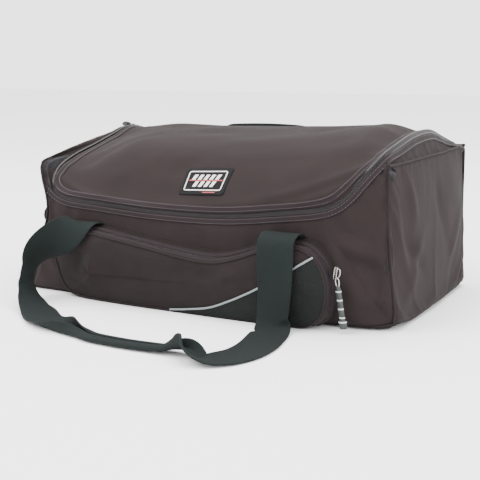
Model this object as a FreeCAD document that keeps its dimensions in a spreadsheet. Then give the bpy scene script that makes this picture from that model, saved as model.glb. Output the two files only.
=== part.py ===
"""Padded gig bag: a foam-lined box bag with a zipped lid, a zipped front pocket and two webbing handles.

Frame: +X along the length, the pocket faces -Y, +Z up, origin at the bottom centre of the bag's body.
Millimetres throughout.
"""
import FreeCAD, Part
import Sketcher
import math
import os
import re

doc = FreeCAD.newDocument("gig_bag")
sheet = doc.addObject("Spreadsheet::Sheet", "Dims")

DRIVING = [
    ("BodyLength", 550),        # overall length of the bag's body
    ("BodyDepth", 320),         # front wall to back wall
    ("SeamHeight", 205),        # top seam of the end and back walls
    ("CrestHeight", 238),       # top of the lid
    ("ShoulderHeight", 212),    # where the lid's front turns over into its top
    ("ShoulderRun", 25),        # depth of that turn
    ("CrestBack", 50),          # where the lid's flat top ends and its back slope begins
    ("LidBackY", 154),          # rear edge of the lid
    ("LidBackHeight", 209),
    ("Skin", 1.5),              # outer fabric
    ("Foam", 7),
    ("Lining", 1),
    ("ZipHeight", 138),         # lid zip's run across the front
    ("ZipHalf", 258),           # lid zip's side runs, from the middle
    ("ZipRadius", 70),          # the zip's front corners
    ("ZipHalfWidth", 5),
    ("CoilHalf", 1.3),
    ("CoilGap", 0.15),
    ("TapeThick", 1),
    ("PipingRadius", 2.2),
    ("PocketLeft", -210),
    ("PocketRight", 207),
    ("PocketHeight", 105),
    ("PocketDepth", 30),        # how far the pocket stands out of the front wall
    ("PocketRadius", 50),       # the pocket's right corners
    ("PocketLeftRadius", 15),
    ("PocketWall", 1.5),
    ("GussetDepth", 16),        # the strip between the front wall and the pocket zip
    ("PocketTape", 4.6),
    ("PocketCoil", 3.3),
    ("PocketZipStart", -185),   # left end of the pocket zip
    ("PocketZipEnd", 18),       # height where the pocket zip ends at the right
    ("AccentX", -47),           # centre and radius of the accent panel's curved top edge
    ("AccentZ", 301),
    ("AccentRadius", 296),
    ("ReflectiveWidth", 2.8),
    ("WebWidth", 50),
    ("WebThick", 2.5),
    ("GripWidth", 27),
    ("GripThick", 7),
    ("AnchorX", 145),
    ("PatchWidth", 72),
    ("PatchHeight", 41),
    ("PatchZ", 172),
    ("SliderLength", 16),
    ("SliderShort", 6),         # slider's reach below the middle, where the pull hangs
    ("SliderWidth", 9),
    ("SliderThick", 2.5),
    ("BailHeight", 4.5),
    ("PullLength", 58),
    ("PullWidth", 11),
    ("PullThick", 3.4),
    ("PocketSliderAngle", 20),  # where the slider stands on the pocket's upper right corner
    ("MainSliderY", 132),
    ("MainSliderX", 263.7),     # parked on the body's half of the zip, clear of the lid
    ("BarRadius", 0.9),
    ("BarClear", 1.6),          # the pull's bar above the slider's plate
    ("BarDown", 3.7),           # and towards the slider's short end
    ("PullLean", 8),
]

for line, (alias, value) in enumerate(DRIVING, start=1):
    sheet.set(f"A{line}", alias)
    sheet.set(f"B{line}", str(value))
    sheet.setAlias(f"B{line}", alias)
doc.recompute()

parts = {}


def dim(alias):
    """One driving dimension as a number."""
    return float(sheet.get(alias))


def formula(text):
    """Names in capitals are cells of the sheet."""
    return re.sub(r"\b([A-Z][A-Za-z]+)\b", r"Dims.\1", str(text))


def bind(thing, prop, text):
    thing.setExpression(prop, formula(text))


def keep(node, thing):
    """Make an object the sub-part of this name."""
    thing.Label = node
    parts[node] = thing
    return thing


def box(name, x, y, z):
    """A box between two formulas along each axis."""
    solid = doc.addObject("Part::Box", name)
    for size, place, (low, high) in zip(("Length", "Width", "Height"), "xyz", (x, y, z)):
        bind(solid, size, f"({high})-({low})")
        bind(solid, f"Placement.Base.{place}", low)
    return solid


def cut(name, base, tool):
    result = doc.addObject("Part::Cut", name)
    result.Base = base
    result.Tool = tool
    return result


def common(name, base, tool):
    result = doc.addObject("Part::Common", name)
    result.Base = base
    result.Tool = tool
    return result


def plane_of(body, role):
    return [item for item in body.Origin.OriginFeatures if item.Role == role][0]


def outline(body, name, role, points):
    """A closed polygon sketch, each corner held by two formulas."""
    sketch = body.newObject("Sketcher::SketchObject", name)
    sketch.AttachmentSupport = [(plane_of(body, role), "")]
    sketch.MapMode = "FlatFace"
    doc.recompute()
    corners = len(points)
    spread = [FreeCAD.Vector(math.cos(i * math.tau / corners), math.sin(i * math.tau / corners), 0) * 100
              for i in range(corners)]
    for i in range(corners):
        sketch.addGeometry(Part.LineSegment(spread[i], spread[(i + 1) % corners]), False)
    for i in range(corners):
        sketch.addConstraint(Sketcher.Constraint("Coincident", i, 2, (i + 1) % corners, 1))
    for i, (across, up) in enumerate(points):
        for kind, mark, text in (("DistanceX", "u", across), ("DistanceY", "v", up)):
            index = sketch.addConstraint(Sketcher.Constraint(kind, -1, 1, i, 1, 1.0))
            sketch.renameConstraint(index, f"{mark}{i}")
            sketch.setExpression(f"Constraints.{mark}{i}", formula(text))
    return sketch


def prism(name, role, points, low, high):
    """A PartDesign body: a polygon padded between two formulas along the plane's own axis.

    XZ_Plane pads along -Y, so its low and high are given along Y and turned round here.
    """
    body = doc.addObject("PartDesign::Body", name)
    sketch = outline(body, f"{name}_sketch", role, points)
    start = f"-({high})" if role == "XZ_Plane" else f"({low})"
    bind(sketch, "AttachmentOffset.Base.z", start)
    pad = body.newObject("PartDesign::Pad", f"{name}_pad")
    pad.Profile = sketch
    bind(pad, "Length", f"({high})-({low})")
    sketch.Visibility = False
    return body


def rounded(name, x, z, y, rounds):
    """A box whose chosen long edges along Y are filleted.

    rounds holds (corner numbers, radius formula), with the corners counted from the lower left one:
    0 lower left, 1 lower right, 2 upper right, 3 upper left.
    """
    (left, right), (low, high) = x, z
    body = prism(name, "XZ_Plane", [(left, low), (right, low), (right, high), (left, high)], y[0], y[1])
    doc.recompute()
    sketch = body.Tip.Profile[0]
    for number, (corners, radius) in enumerate(rounds):
        base = body.Tip
        found = []
        for corner in corners:
            at_x = sketch.getDatum(f"u{corner}").Value
            at_z = sketch.getDatum(f"v{corner}").Value
            for i, edge in enumerate(base.Shape.Edges, start=1):
                start, end = edge.firstVertex().Point, edge.lastVertex().Point
                if abs(start.y - end.y) > 0.5 and math.hypot(start.x - at_x, start.z - at_z) < 0.01:
                    found.append(f"Edge{i}")
        fillet = body.newObject("PartDesign::Fillet", f"{name}_round{number}")
        fillet.Base = (base, found)
        bind(fillet, "Radius", radius)
        doc.recompute()
    return body


# ---------------------------------------------------------------- shared formulas
RIGHT = "BodyLength/2"
LEFT = "-BodyLength/2"
FRONT = "-BodyDepth/2"
BACK = "BodyDepth/2"
WALL = "(Skin+Foam+Lining)"
BELOW, ABOVE = "-400", "400"


def lid_opening(name, grow):
    """The zip's outline seen from the front, grown by a formula, as a prism right through the bag."""
    half = f"(ZipHalf+({grow}))"
    low = f"(ZipHeight-({grow}))"
    radius = f"ZipRadius+({grow})"
    return rounded(name, (f"-{half}", half), (low, ABOVE), (BELOW, ABOVE), [((0, 1), radius)])


def lid_edge(depth):
    """The lid's side profile at a depth below its outer face, front zip to back edge: (y, z) formulas."""
    slope = "((CrestHeight-LidBackHeight)/(LidBackY-CrestBack))"
    return [
        (f"{FRONT}+{depth}", "ZipHeight-ZipHalfWidth-1"),
        (f"{FRONT}+{depth}", f"ShoulderHeight-0.4*{depth}"),
        (f"{FRONT}+ShoulderRun+0.4*{depth}", f"CrestHeight-{depth}"),
        (f"CrestBack-0.13*{depth}", f"CrestHeight-{depth}"),
        (f"LidBackY-1.04*{depth}/{slope}", "LidBackHeight"),
    ]


def lid_layer(name, outer, inner):
    """A full-width ribbon of the lid's profile between two depths, before the zip's outline cuts it."""
    return prism(name, "YZ_Plane", lid_edge(outer) + lid_edge(inner)[::-1], LEFT, RIGHT)


# ---------------------------------------------------------------- walls
def make_walls():
    opening = lid_opening("front_opening", "ZipHalfWidth")
    skin_top = "SeamHeight"
    inner_top = "SeamHeight-1"
    layers = [
        ("panel", "0", "Skin", skin_top),
        ("foam", "Skin", "Skin+Foam", inner_top),
        ("lining", "Skin+Foam", "Skin+Foam+Lining", inner_top),
    ]
    for layer, outer, inner, top in layers:
        keep(f"bottom_{layer}", box(f"bottom_{layer}", (f"{LEFT}+{outer}", f"{RIGHT}-({outer})"),
                                    (f"{FRONT}+{outer}", f"{BACK}-({outer})"), (outer, inner)))
        wall_x = (f"{LEFT}+{outer}", f"{RIGHT}-({outer})")
        front = box(f"front_{layer}_sheet", wall_x, (f"{FRONT}+{outer}", f"{FRONT}+{inner}"), (inner, top))
        keep(f"front_{layer}", cut(f"front_{layer}", front, opening))
        keep(f"back_{layer}", box(f"back_{layer}", wall_x, (f"{BACK}-({inner})", f"{BACK}-({outer})"),
                                  (inner, top)))
        end_y = (f"{FRONT}+{inner}", f"{BACK}-({inner})")
        keep(f"left_end_{layer}", box(f"left_end_{layer}", (f"{LEFT}+{outer}", f"{LEFT}+{inner}"),
                                      end_y, (inner, top)))
        keep(f"right_end_{layer}", box(f"right_end_{layer}", (f"{RIGHT}-({inner})", f"{RIGHT}-({outer})"),
                                       end_y, (inner, top)))


def make_top_bands():
    """The padded band that fills between an end wall's straight seam and the lid zip's curved side run."""
    profile = [
        (FRONT, "SeamHeight"),
        (FRONT, "ShoulderHeight"),
        (f"{FRONT}+ShoulderRun", "CrestHeight"),
        ("CrestBack", "CrestHeight"),
        ("LidBackY", "LidBackHeight"),
        ("LidBackY", "SeamHeight"),
    ]
    inner = "(ZipHalf+ZipHalfWidth)"
    keep("left_top_band", prism("left_top_band", "YZ_Plane", profile, LEFT, f"-{inner}"))
    keep("right_top_band", prism("right_top_band", "YZ_Plane", profile, inner, RIGHT))


def make_seams():
    """Piped seam along the top of the back wall, which is also the line that the lid folds on."""
    piping = doc.addObject("Part::Cylinder", "back_seam_piping")
    bind(piping, "Radius", "PipingRadius")
    bind(piping, "Height", "BodyLength")
    piping.Placement = FreeCAD.Placement(FreeCAD.Vector(0, 0, 0), FreeCAD.Rotation(FreeCAD.Vector(0, 1, 0), 90))
    bind(piping, "Placement.Base.x", LEFT)
    bind(piping, "Placement.Base.y", f"{BACK}-PipingRadius")
    bind(piping, "Placement.Base.z", "SeamHeight+PipingRadius")
    keep("back_seam_piping", piping)


# ---------------------------------------------------------------- lid and its zip
def make_lid():
    lid_cut = lid_opening("lid_outline", "-ZipHalfWidth")
    keep("lid_panel", common("lid_panel", lid_layer("lid_panel_ribbon", "0", "Skin"), lid_cut))
    keep("lid_foam", common("lid_foam", lid_layer("lid_foam_ribbon", "Skin", "(Skin+Foam)"), lid_cut))
    keep("lid_lining", common("lid_lining", lid_layer("lid_lining_ribbon", "(Skin+Foam)", WALL), lid_cut))


def make_lid_zip():
    """Two tapes and two rows of coil, each a thin ribbon of the lid's profile between two outlines."""
    bands = [
        ("body_zip_tape", "ZipHalfWidth", "CoilHalf", "Skin", "TapeThick+Skin"),
        ("body_zip_coil", "CoilHalf", "CoilGap", "0", "2*Skin"),
        ("lid_zip_coil", "-CoilGap", "-CoilHalf", "0", "2*Skin"),
        ("lid_zip_tape", "-CoilHalf", "-ZipHalfWidth", "Skin", "TapeThick+Skin"),
    ]
    for name, outside, inside, outer, inner in bands:
        ribbon = lid_layer(f"{name}_ribbon", f"({outer})", f"({inner})")
        within = common(f"{name}_within", ribbon, lid_opening(f"{name}_outside", outside))
        keep(name, cut(name, within, lid_opening(f"{name}_inside", inside)))


def make_patch():
    half = "PatchWidth/2"
    keep("label_patch", box("label_patch", (f"-{half}", half), (f"{FRONT}-TapeThick", FRONT),
                            ("PatchZ-PatchHeight/2", "PatchZ+PatchHeight/2")))


# ---------------------------------------------------------------- front pocket
POCKET_BACK = f"({FRONT})"
POCKET_FRONT = f"({FRONT}-PocketDepth)"
POCKET_BASE = "0.5"


def pocket_outline(name, grow, y):
    """The pocket's rounded outline seen from the front, grown by a formula."""
    left = f"(PocketLeft-({grow}))"
    right = f"(PocketRight+({grow}))"
    low = f"({POCKET_BASE}-({grow}))"
    high = f"(PocketHeight+({grow}))"
    rounds = [((1, 2), f"PocketRadius+({grow})"), ((0, 3), f"PocketLeftRadius+({grow})")]
    return rounded(name, (left, right), (low, high), y, rounds)


def pocket_ring(name, outside, inside, y):
    """A strip of fabric that follows the pocket's outline between two y formulas."""
    whole = pocket_outline(f"{name}_outside", outside, y)
    return cut(f"{name}_ring", whole, pocket_outline(f"{name}_inside", inside, (BELOW, ABOVE)))


def make_pocket():
    gusset_front = f"({POCKET_BACK}-GussetDepth)"
    panel_back = f"({POCKET_FRONT}+PocketWall)"
    inner_grow = "-PocketWall"
    gusset = pocket_ring("pocket_gusset", "0", inner_grow, (gusset_front, POCKET_BACK))
    keep("pocket_gusset", gusset)
    keep("pocket_front_panel", pocket_outline("pocket_front_panel", "0", (POCKET_FRONT, panel_back)))

    zipped = box("pocket_zip_zone", ("PocketZipStart", ABOVE), (BELOW, ABOVE), ("PocketZipEnd", ABOVE))
    lower = pocket_ring("pocket_lower_gusset", "0", inner_grow, (panel_back, gusset_front))
    keep("pocket_lower_gusset", cut("pocket_lower_gusset", lower, zipped))

    coil_back = f"({gusset_front}-PocketTape)"
    coil_front = f"({coil_back}-PocketCoil)"
    strips = [
        ("pocket_zip_tape_rear", "0", "-TapeThick", (coil_back, gusset_front)),
        ("pocket_zip_coil", "0.8", "-1.2", (coil_front, coil_back)),
        ("pocket_zip_tape_front", "0", "-TapeThick", (panel_back, coil_front)),
    ]
    for name, outside, inside, y in strips:
        keep(name, common(name, pocket_ring(name, outside, inside, y), zipped))


def accent_disc(name, radius):
    """A disc along Y about the centre of the accent panel's curved edge, as deep as the whole bag."""
    disc = doc.addObject("Part::Cylinder", name)
    bind(disc, "Radius", radius)
    bind(disc, "Height", f"{ABOVE}-({BELOW})")
    disc.Placement = FreeCAD.Placement(FreeCAD.Vector(0, 0, 0), FreeCAD.Rotation(FreeCAD.Vector(1, 0, 0), -90))
    bind(disc, "Placement.Base.x", "AccentX")
    bind(disc, "Placement.Base.y", BELOW)
    bind(disc, "Placement.Base.z", "AccentZ")
    return disc


def make_pocket_trim():
    """Accent panel at the pocket's lower right, the reflective piping above it and the piped front edge."""
    accent_front = f"({POCKET_FRONT}-TapeThick)"
    disc = accent_disc("accent_curve", "AccentRadius")
    whole = pocket_outline("accent_outline", "-4", (accent_front, POCKET_FRONT))
    right_side = box("accent_side", ("AccentX", ABOVE), (BELOW, ABOVE), (BELOW, ABOVE))
    keep("pocket_accent_panel", cut("pocket_accent_panel", common("accent_whole", whole, right_side), disc))

    cord = accent_disc("reflective_outer", "AccentRadius")
    hollow = accent_disc("reflective_inner", "AccentRadius-ReflectiveWidth")
    bounds = pocket_outline("reflective_bounds", "-4", (f"({POCKET_FRONT}-ReflectiveWidth)", POCKET_FRONT))
    keep("pocket_reflective_piping", cut("pocket_reflective_piping", common(
        "reflective_band", cord, common("reflective_side", bounds, right_side)), hollow))

    edge = pocket_ring("pocket_edge_piping", "0", "-3.2", (f"({POCKET_FRONT}-2.6)", POCKET_FRONT))
    keep("pocket_edge_piping", edge)


# ---------------------------------------------------------------- webbing handles
def ribbon(stations, width, thick):
    """A flat strap through stations of (centre, direction across the strap), as a ruled loft."""
    centres = [FreeCAD.Vector(*centre) for centre, across in stations]
    wires = []
    for i, (centre, across) in enumerate(stations):
        before = centres[max(i - 1, 0)]
        after = centres[min(i + 1, len(centres) - 1)]
        along = (after - before).normalize()
        side = FreeCAD.Vector(*across)
        side = (side - along * side.dot(along)).normalize() * (width / 2)
        face = along.cross(side).normalize() * (thick / 2)
        corners = [centres[i] + side + face, centres[i] - side + face,
                   centres[i] - side - face, centres[i] + side - face]
        wires.append(Part.makePolygon(corners + corners[:1]))
    return Part.makeLoft(wires, True, True)


def path_length(stations):
    points = [FreeCAD.Vector(*centre) for centre, across in stations]
    return sum((b - a).Length for a, b in zip(points, points[1:]))


def free_shape(node, shape):
    thing = doc.addObject("Part::Feature", node)
    thing.Shape = shape
    thing.Placement = FreeCAD.Placement()
    return keep(node, thing)


ACROSS_X = (1, 0, 0)
FLOOR = 1.25                    # centre height of webbing that lies flat
GRIP_FLOOR = 3.5                # centre height of the folded and stitched grip

FRONT_RIGHT_LEG = [
    ((144, -180.5, 123.4), ACROSS_X),
    ((144, -187.0, 121), ACROSS_X),
    ((143, -196.0, 110), ACROSS_X),
    ((141, -203.0, 84), ACROSS_X),
    ((138, -206.0, 52), (1, -0.15, 0)),
    ((134, -208.0, 24), (1, -0.25, 0)),
    ((134, -213.0, 8), (1, -0.3, 0)),
    ((137, -224.0, 2.2), (1, -0.3, 0)),
    ((148, -258.0, FLOOR), (1, -0.15, 0)),
    ((152, -292.0, FLOOR), (1, 0, 0)),
    ((144, -322.0, FLOOR), (0.9, -0.5, 0)),
    ((124, -343.0, FLOOR), (0.5, -0.85, 0)),
    ((100, -349.0, FLOOR), (0, -1, 0)),
    ((84, -348.0, 2.6), (0, -1, 0)),
]
FRONT_GRIP = [
    ((83, -348.0, GRIP_FLOOR), (0, -1, 0)),
    ((60, -350.0, GRIP_FLOOR), (0.05, -1, 0)),
    ((10, -353.0, GRIP_FLOOR), (0, -1, 0)),
    ((-45, -348.0, GRIP_FLOOR), (-0.15, -1, 0)),
    ((-66, -343.0, GRIP_FLOOR), (-0.2, -1, 0)),
]
FRONT_LEFT_LEG = [
    ((-67, -343.0, 2.6), (0.2, 1, 0)),
    ((-84, -338.0, FLOOR), (0.35, 1, 0)),
    ((-122, -320.0, FLOOR), (0.5, 0.9, 0)),
    ((-162, -294.0, FLOOR), (0.6, 0.8, 0)),
    ((-202, -260.0, FLOOR), (0.7, 0.7, 0)),
    ((-230, -236.0, FLOOR), (0.75, 0.7, 0)),
    ((-246, -222.0, 3.5), (0.9, 0.5, 0)),
    ((-252, -216.0, 13), (1, 0.25, 0)),
    ((-249, -214.0, 28), (1, 0.1, -0.2)),
    ((-238, -213.0, 47), (0.9, 0, -0.4)),
    ((-218, -212.0, 71), (0.78, 0, -0.62)),
    ((-195, -209.0, 93), (0.78, 0, -0.62)),
    ((-173, -203.0, 109), (0.85, 0, -0.5)),
    ((-157, -195.0, 119), (1, 0, -0.2)),
    ((-150, -187.0, 122.5), ACROSS_X),
    ((-150, -180.5, 123.4), ACROSS_X),
]
FRONT_ANCHORS = [
    ((0, -161.5, 106), ACROSS_X),
    ((0, -162.5, 114), ACROSS_X),
    ((0, -166.5, 121), ACROSS_X),
    ((0, -172.0, 124.4), ACROSS_X),
    ((0, -178.2, 124.4), ACROSS_X),
]
REAR_RIGHT_LEG = [
    ((145, 166.0, 118), ACROSS_X),
    ((145, 170.0, 127), ACROSS_X),
    ((143, 177.0, 140), (1, 0, 0.15)),
    ((135, 181.0, 155), (0.9, 0, 0.5)),
    ((120, 182.0, 169), (0.7, 0, 0.75)),
    ((98, 182.0, 180), (0.45, 0, 0.9)),
    ((70, 182.0, 188), (0.25, 0, 1)),
    ((38, 182.0, 199), (0.3, 0, 1)),
    ((11, 182.0, 210), (0.3, 0, 1)),
]
REAR_GRIP = [
    ((10, 182.0, 210.5), (0.3, 0, 1)),
    ((-15, 182.0, 214), (0, 0, 1)),
    ((-70, 182.0, 215), (0, 0, 1)),
    ((-125, 182.0, 213), (-0.15, 0, 1)),
    ((-140, 182.0, 209.5), (-0.3, 0, 1)),
]
REAR_LEFT_LEG = [
    ((-141, 182.0, 209), (-0.3, 0, 1)),
    ((-165, 182.0, 196), (-0.6, 0, 0.8)),
    ((-178, 182.0, 178), (-0.95, 0, 0.3)),
    ((-178, 182.0, 160), (-1, 0, -0.1)),
    ((-166, 181.0, 146), (-0.9, 0, -0.4)),
    ((-152, 177.0, 136), (-0.95, 0, -0.3)),
    ((-145, 171.0, 128), (-1, 0, 0)),
    ((-145, 166.0, 118), (-1, 0, 0)),
]
REAR_ANCHORS = [
    ((0, 161.5, 92), ACROSS_X),
    ((0, 161.5, 110), ACROSS_X),
    ((0, 163.0, 114), ACROSS_X),
]


def make_handles():
    web_width, web_thick = dim("WebWidth"), dim("WebThick")
    grip_width, grip_thick = dim("GripWidth"), dim("GripThick")
    handles = [
        ("front", FRONT_RIGHT_LEG, FRONT_GRIP, FRONT_LEFT_LEG),
        ("rear", REAR_RIGHT_LEG, REAR_GRIP, REAR_LEFT_LEG),
    ]
    for side, right_leg, grip, left_leg in handles:
        legs = [ribbon(right_leg, web_width, web_thick), ribbon(left_leg, web_width, web_thick)]
        free_shape(f"{side}_handle_webbing", Part.makeCompound(legs))
        free_shape(f"{side}_handle_grip", ribbon(grip, grip_width, grip_thick))
        total = path_length(right_leg) + path_length(grip) + path_length(left_leg)
        print(f"{side} handle webbing, sewn end to sewn end: {total:.0f} mm")


def make_anchors():
    """The sewn-down ends of each strap, which stand out of the wall's seam and turn over towards the strap."""
    middles = {"front": (-dim("AnchorX") - 5, dim("AnchorX") - 1), "rear": (-dim("AnchorX"), dim("AnchorX"))}
    for side, stations in (("front", FRONT_ANCHORS), ("rear", REAR_ANCHORS)):
        for end, middle in zip(("left", "right"), middles[side]):
            moved = [((middle + x, y, z), across) for (x, y, z), across in stations]
            free_shape(f"{side}_{end}_anchor", ribbon(moved, dim("WebWidth"), dim("WebThick")))


# ---------------------------------------------------------------- zip sliders and pulls
def slider_profile():
    """Side view of a slider, out from the zip along u and along the zip along v: plate and bail."""
    return [
        ("0", "-SliderShort"), ("SliderThick+BailHeight", "-SliderShort"),
        ("SliderThick+BailHeight", "4.6"), ("SliderThick", "4.6"),
        ("SliderThick", "SliderLength-SliderShort"), ("0", "SliderLength-SliderShort"),
    ]


def make_slider(node, placement, foot):
    """A slider lying on the zip. Local +X leads away from the zip, local +Z runs along it."""
    points = [(f"{foot}+{across}", up) for across, up in slider_profile()]
    half = "SliderWidth/2"
    plate = prism(f"{node}_plate", "XZ_Plane", points, f"-{half}", half)
    clear_low = f"{foot}+SliderThick"
    clear_high = f"{foot}+SliderThick+BailHeight-1.2"
    hole = prism(f"{node}_hole", "XZ_Plane", [(clear_low, "-4.8"), (clear_high, "-4.8"),
                                              (clear_high, "3.4"), (clear_low, "3.4")], BELOW, ABOVE)
    slim = box(f"{node}_slim", (f"{foot}+SliderThick", "100"), ("1.2", ABOVE), (BELOW, ABOVE))
    slim_other = box(f"{node}_slim_other", (f"{foot}+SliderThick", "100"), (BELOW, "-1.2"), (BELOW, ABOVE))
    whole = cut(f"{node}_drilled", plate, hole)
    whole = cut(f"{node}_trimmed", whole, slim)
    whole = cut(node, whole, slim_other)
    whole.Placement = placement
    return keep(node, whole)


def make_pull(node, placement):
    """A moulded pull hanging along local -Z from its bar, which lies along Y at the local origin."""
    half = "(PullWidth/2-1)"
    bar = doc.addObject("Part::Cylinder", f"{node}_bar")
    bind(bar, "Radius", "BarRadius")
    bind(bar, "Height", f"2*{half}")
    bar.Placement = FreeCAD.Placement(FreeCAD.Vector(0, 0, 0), FreeCAD.Rotation(FreeCAD.Vector(1, 0, 0), -90))
    bind(bar, "Placement.Base.y", f"-{half}")
    reach = "(SliderShort+4)"
    pieces = [bar]
    for mark, low, high in (("a", f"-{half}", f"-{half}+1.6"), ("b", f"{half}-1.6", half)):
        pieces.append(box(f"{node}_arm_{mark}", ("-BarRadius", "BarRadius"), (low, high), (f"-{reach}", "BarRadius")))
    pieces.append(box(f"{node}_tab", ("-BarRadius", "PullThick-BarRadius"), ("-PullWidth/2", "PullWidth/2"),
                      (f"-{reach}-PullLength", f"-{reach}")))
    fused = doc.addObject("Part::MultiFuse", node)
    fused.Shapes = pieces
    fused.Placement = placement
    return keep(node, fused)


def make_sliders():
    bar_out = dim("SliderThick") + dim("BarClear")
    bar_down = dim("BarDown")

    turn = dim("PocketSliderAngle")
    radius = dim("PocketRadius")
    middle_y = -dim("BodyDepth") / 2 - dim("GussetDepth") - dim("PocketTape") - dim("PocketCoil") / 2
    corner = FreeCAD.Vector(dim("PocketRight") - radius, middle_y, dim("PocketHeight") - radius)
    tilt = FreeCAD.Rotation(FreeCAD.Vector(0, 1, 0), -turn)
    out = tilt.multVec(FreeCAD.Vector(1, 0, 0))
    along = tilt.multVec(FreeCAD.Vector(0, 0, 1))
    foot = "1.3"
    make_slider("pocket_slider", FreeCAD.Placement(corner + out * radius, tilt), foot)
    pivot = corner + out * (radius + float(foot) + bar_out) - along * bar_down
    lean = FreeCAD.Rotation(FreeCAD.Vector(0, 1, 0), -dim("PullLean"))
    make_pull("pocket_pull", FreeCAD.Placement(pivot, lean))
    print("pocket slider turns about", corner, "its pull about", pivot)

    drop = dim("CrestHeight") - dim("LidBackHeight")
    run = dim("LidBackY") - dim("CrestBack")
    slope = math.atan2(drop, run)
    at_y = dim("MainSliderY")
    at_z = dim("CrestHeight") - drop / run * (at_y - dim("CrestBack"))
    zip_spot = FreeCAD.Vector(-dim("MainSliderX"), at_y, at_z)
    away = FreeCAD.Vector(0, math.sin(slope), math.cos(slope))
    uphill = FreeCAD.Vector(0, -math.cos(slope), math.sin(slope))
    lying = FreeCAD.Rotation(away, uphill.cross(away), -uphill, "ZXY")
    main_foot = "0.4"
    make_slider("main_slider", FreeCAD.Placement(zip_spot, lying), main_foot)
    main_pivot = zip_spot + away * (float(main_foot) + bar_out) + uphill * bar_down
    make_pull("main_pull", FreeCAD.Placement(main_pivot, lying))
    print("main slider runs along", uphill, "its pull about", main_pivot)


make_walls()
make_top_bands()
make_seams()
make_lid()
make_lid_zip()
make_patch()
make_pocket()
make_pocket_trim()
make_handles()
make_anchors()
make_sliders()
doc.recompute()

broken = [item.Name for item in doc.Objects if "Invalid" in item.State or "Error" in item.State]
for node, thing in parts.items():
    if thing.Shape.isNull() or not thing.Shape.isValid():
        broken.append(node)
if broken:
    raise SystemExit(f"failed: {broken}")

os.makedirs("parts", exist_ok=True)
for node, thing in parts.items():
    thing.Shape.exportStep(f"parts/{node}.step")
print(len(parts), "sub-parts")
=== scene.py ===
"""Padded gig bag: the looks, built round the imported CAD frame.

Lengths here are in millimetres, and make_mesh turns them into metres.
"""
import math

import bpy
import numpy as np
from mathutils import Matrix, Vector, noise
from mathutils.bvhtree import BVHTree


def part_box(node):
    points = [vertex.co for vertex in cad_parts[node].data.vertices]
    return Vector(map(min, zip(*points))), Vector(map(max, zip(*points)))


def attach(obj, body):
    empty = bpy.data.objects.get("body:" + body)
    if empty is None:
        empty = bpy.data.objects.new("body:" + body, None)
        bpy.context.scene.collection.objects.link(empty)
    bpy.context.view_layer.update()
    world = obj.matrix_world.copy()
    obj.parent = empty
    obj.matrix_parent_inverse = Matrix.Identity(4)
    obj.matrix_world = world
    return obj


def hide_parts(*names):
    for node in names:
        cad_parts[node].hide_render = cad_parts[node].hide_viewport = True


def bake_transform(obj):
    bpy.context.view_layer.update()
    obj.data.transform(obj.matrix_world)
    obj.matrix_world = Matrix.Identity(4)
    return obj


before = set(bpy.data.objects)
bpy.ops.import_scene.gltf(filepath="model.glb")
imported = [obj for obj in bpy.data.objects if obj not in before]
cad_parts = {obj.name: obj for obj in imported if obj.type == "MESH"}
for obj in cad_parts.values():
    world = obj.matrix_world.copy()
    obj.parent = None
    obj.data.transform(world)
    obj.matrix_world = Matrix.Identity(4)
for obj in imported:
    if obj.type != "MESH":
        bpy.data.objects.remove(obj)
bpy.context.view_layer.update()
MM = 0.001


def cad_mm(node):
    """Lowest and highest corner of a CAD node, in millimetres."""
    low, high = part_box(node)
    return np.array(low) / MM, np.array(high) / MM


FRONT_LOW, FRONT_HIGH = cad_mm("front_panel")
BACK_HIGH = cad_mm("back_panel")[1]
LEFT, RIGHT = FRONT_LOW[0], FRONT_HIGH[0]
FRONT, BACK = FRONT_LOW[1], BACK_HIGH[1]
CREST = cad_mm("lid_panel")[1][2]
SEAM_TOP = BACK_HIGH[2]
POCKET_FRONT = cad_mm("pocket_front_panel")[0][1]
PADDING = 9.0  # foam and lining behind the outer cloth
SEED_STEP = 17.3  # how far apart two seeds read the noise
RIPPLE_MARGIN, FOLD_MARGIN = 14, 9  # how far from a seam waves and folds fade out
SETTLE_FRAMES = 20  # frames of cloth simulation


# ---------------------------------------------------------------- lines and surfaces
def vec(rows):
    return np.array(rows, float)


def unit(v):
    return v / np.maximum(np.linalg.norm(v, axis=-1, keepdims=True), 1e-9)


def smooth(t):
    t = np.clip(t, 0, 1)
    return t * t * (3 - 2 * t)


def spline(points, closed=False, steps=16):
    """A Catmull-Rom line through the points."""
    p = vec(points)
    ends = (p[-1], [p[0], p[1]]) if closed else (2 * p[0] - p[1], 2 * p[-1] - p[-2])
    p = np.vstack([ends[0], p, ends[1]])
    t = np.linspace(0, 1, steps, endpoint=False)[:, None]
    runs = []
    for a, b, c, d in zip(p, p[1:], p[2:], p[3:]):
        square, cube = 2 * a - 5 * b + 4 * c - d, 3 * b - a - 3 * c + d
        runs.append(0.5 * (2 * b + (c - a) * t + square * t**2 + cube * t**3))
    return np.vstack(runs + [p[-2:-1]])


def lengths(line):
    return np.concatenate([[0], np.cumsum(np.linalg.norm(np.diff(line[:, :3], axis=0), axis=1))])


def evenly(line, count):
    """The line again, with points at equal distances along it."""
    s = lengths(line)
    want = np.linspace(0, s[-1], count)
    return np.stack([np.interp(want, s, line[:, k]) for k in range(line.shape[1])], 1)


def curve(points, count):
    return evenly(spline(points), count)


def tangents(line):
    return unit(np.gradient(line, axis=0))


def ruled(one, other, count):
    """Grid of points from one line to the other."""
    t = np.linspace(0, 1, count)[:, None, None]
    return one[None] * (1 - t) + other[None] * t


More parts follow.
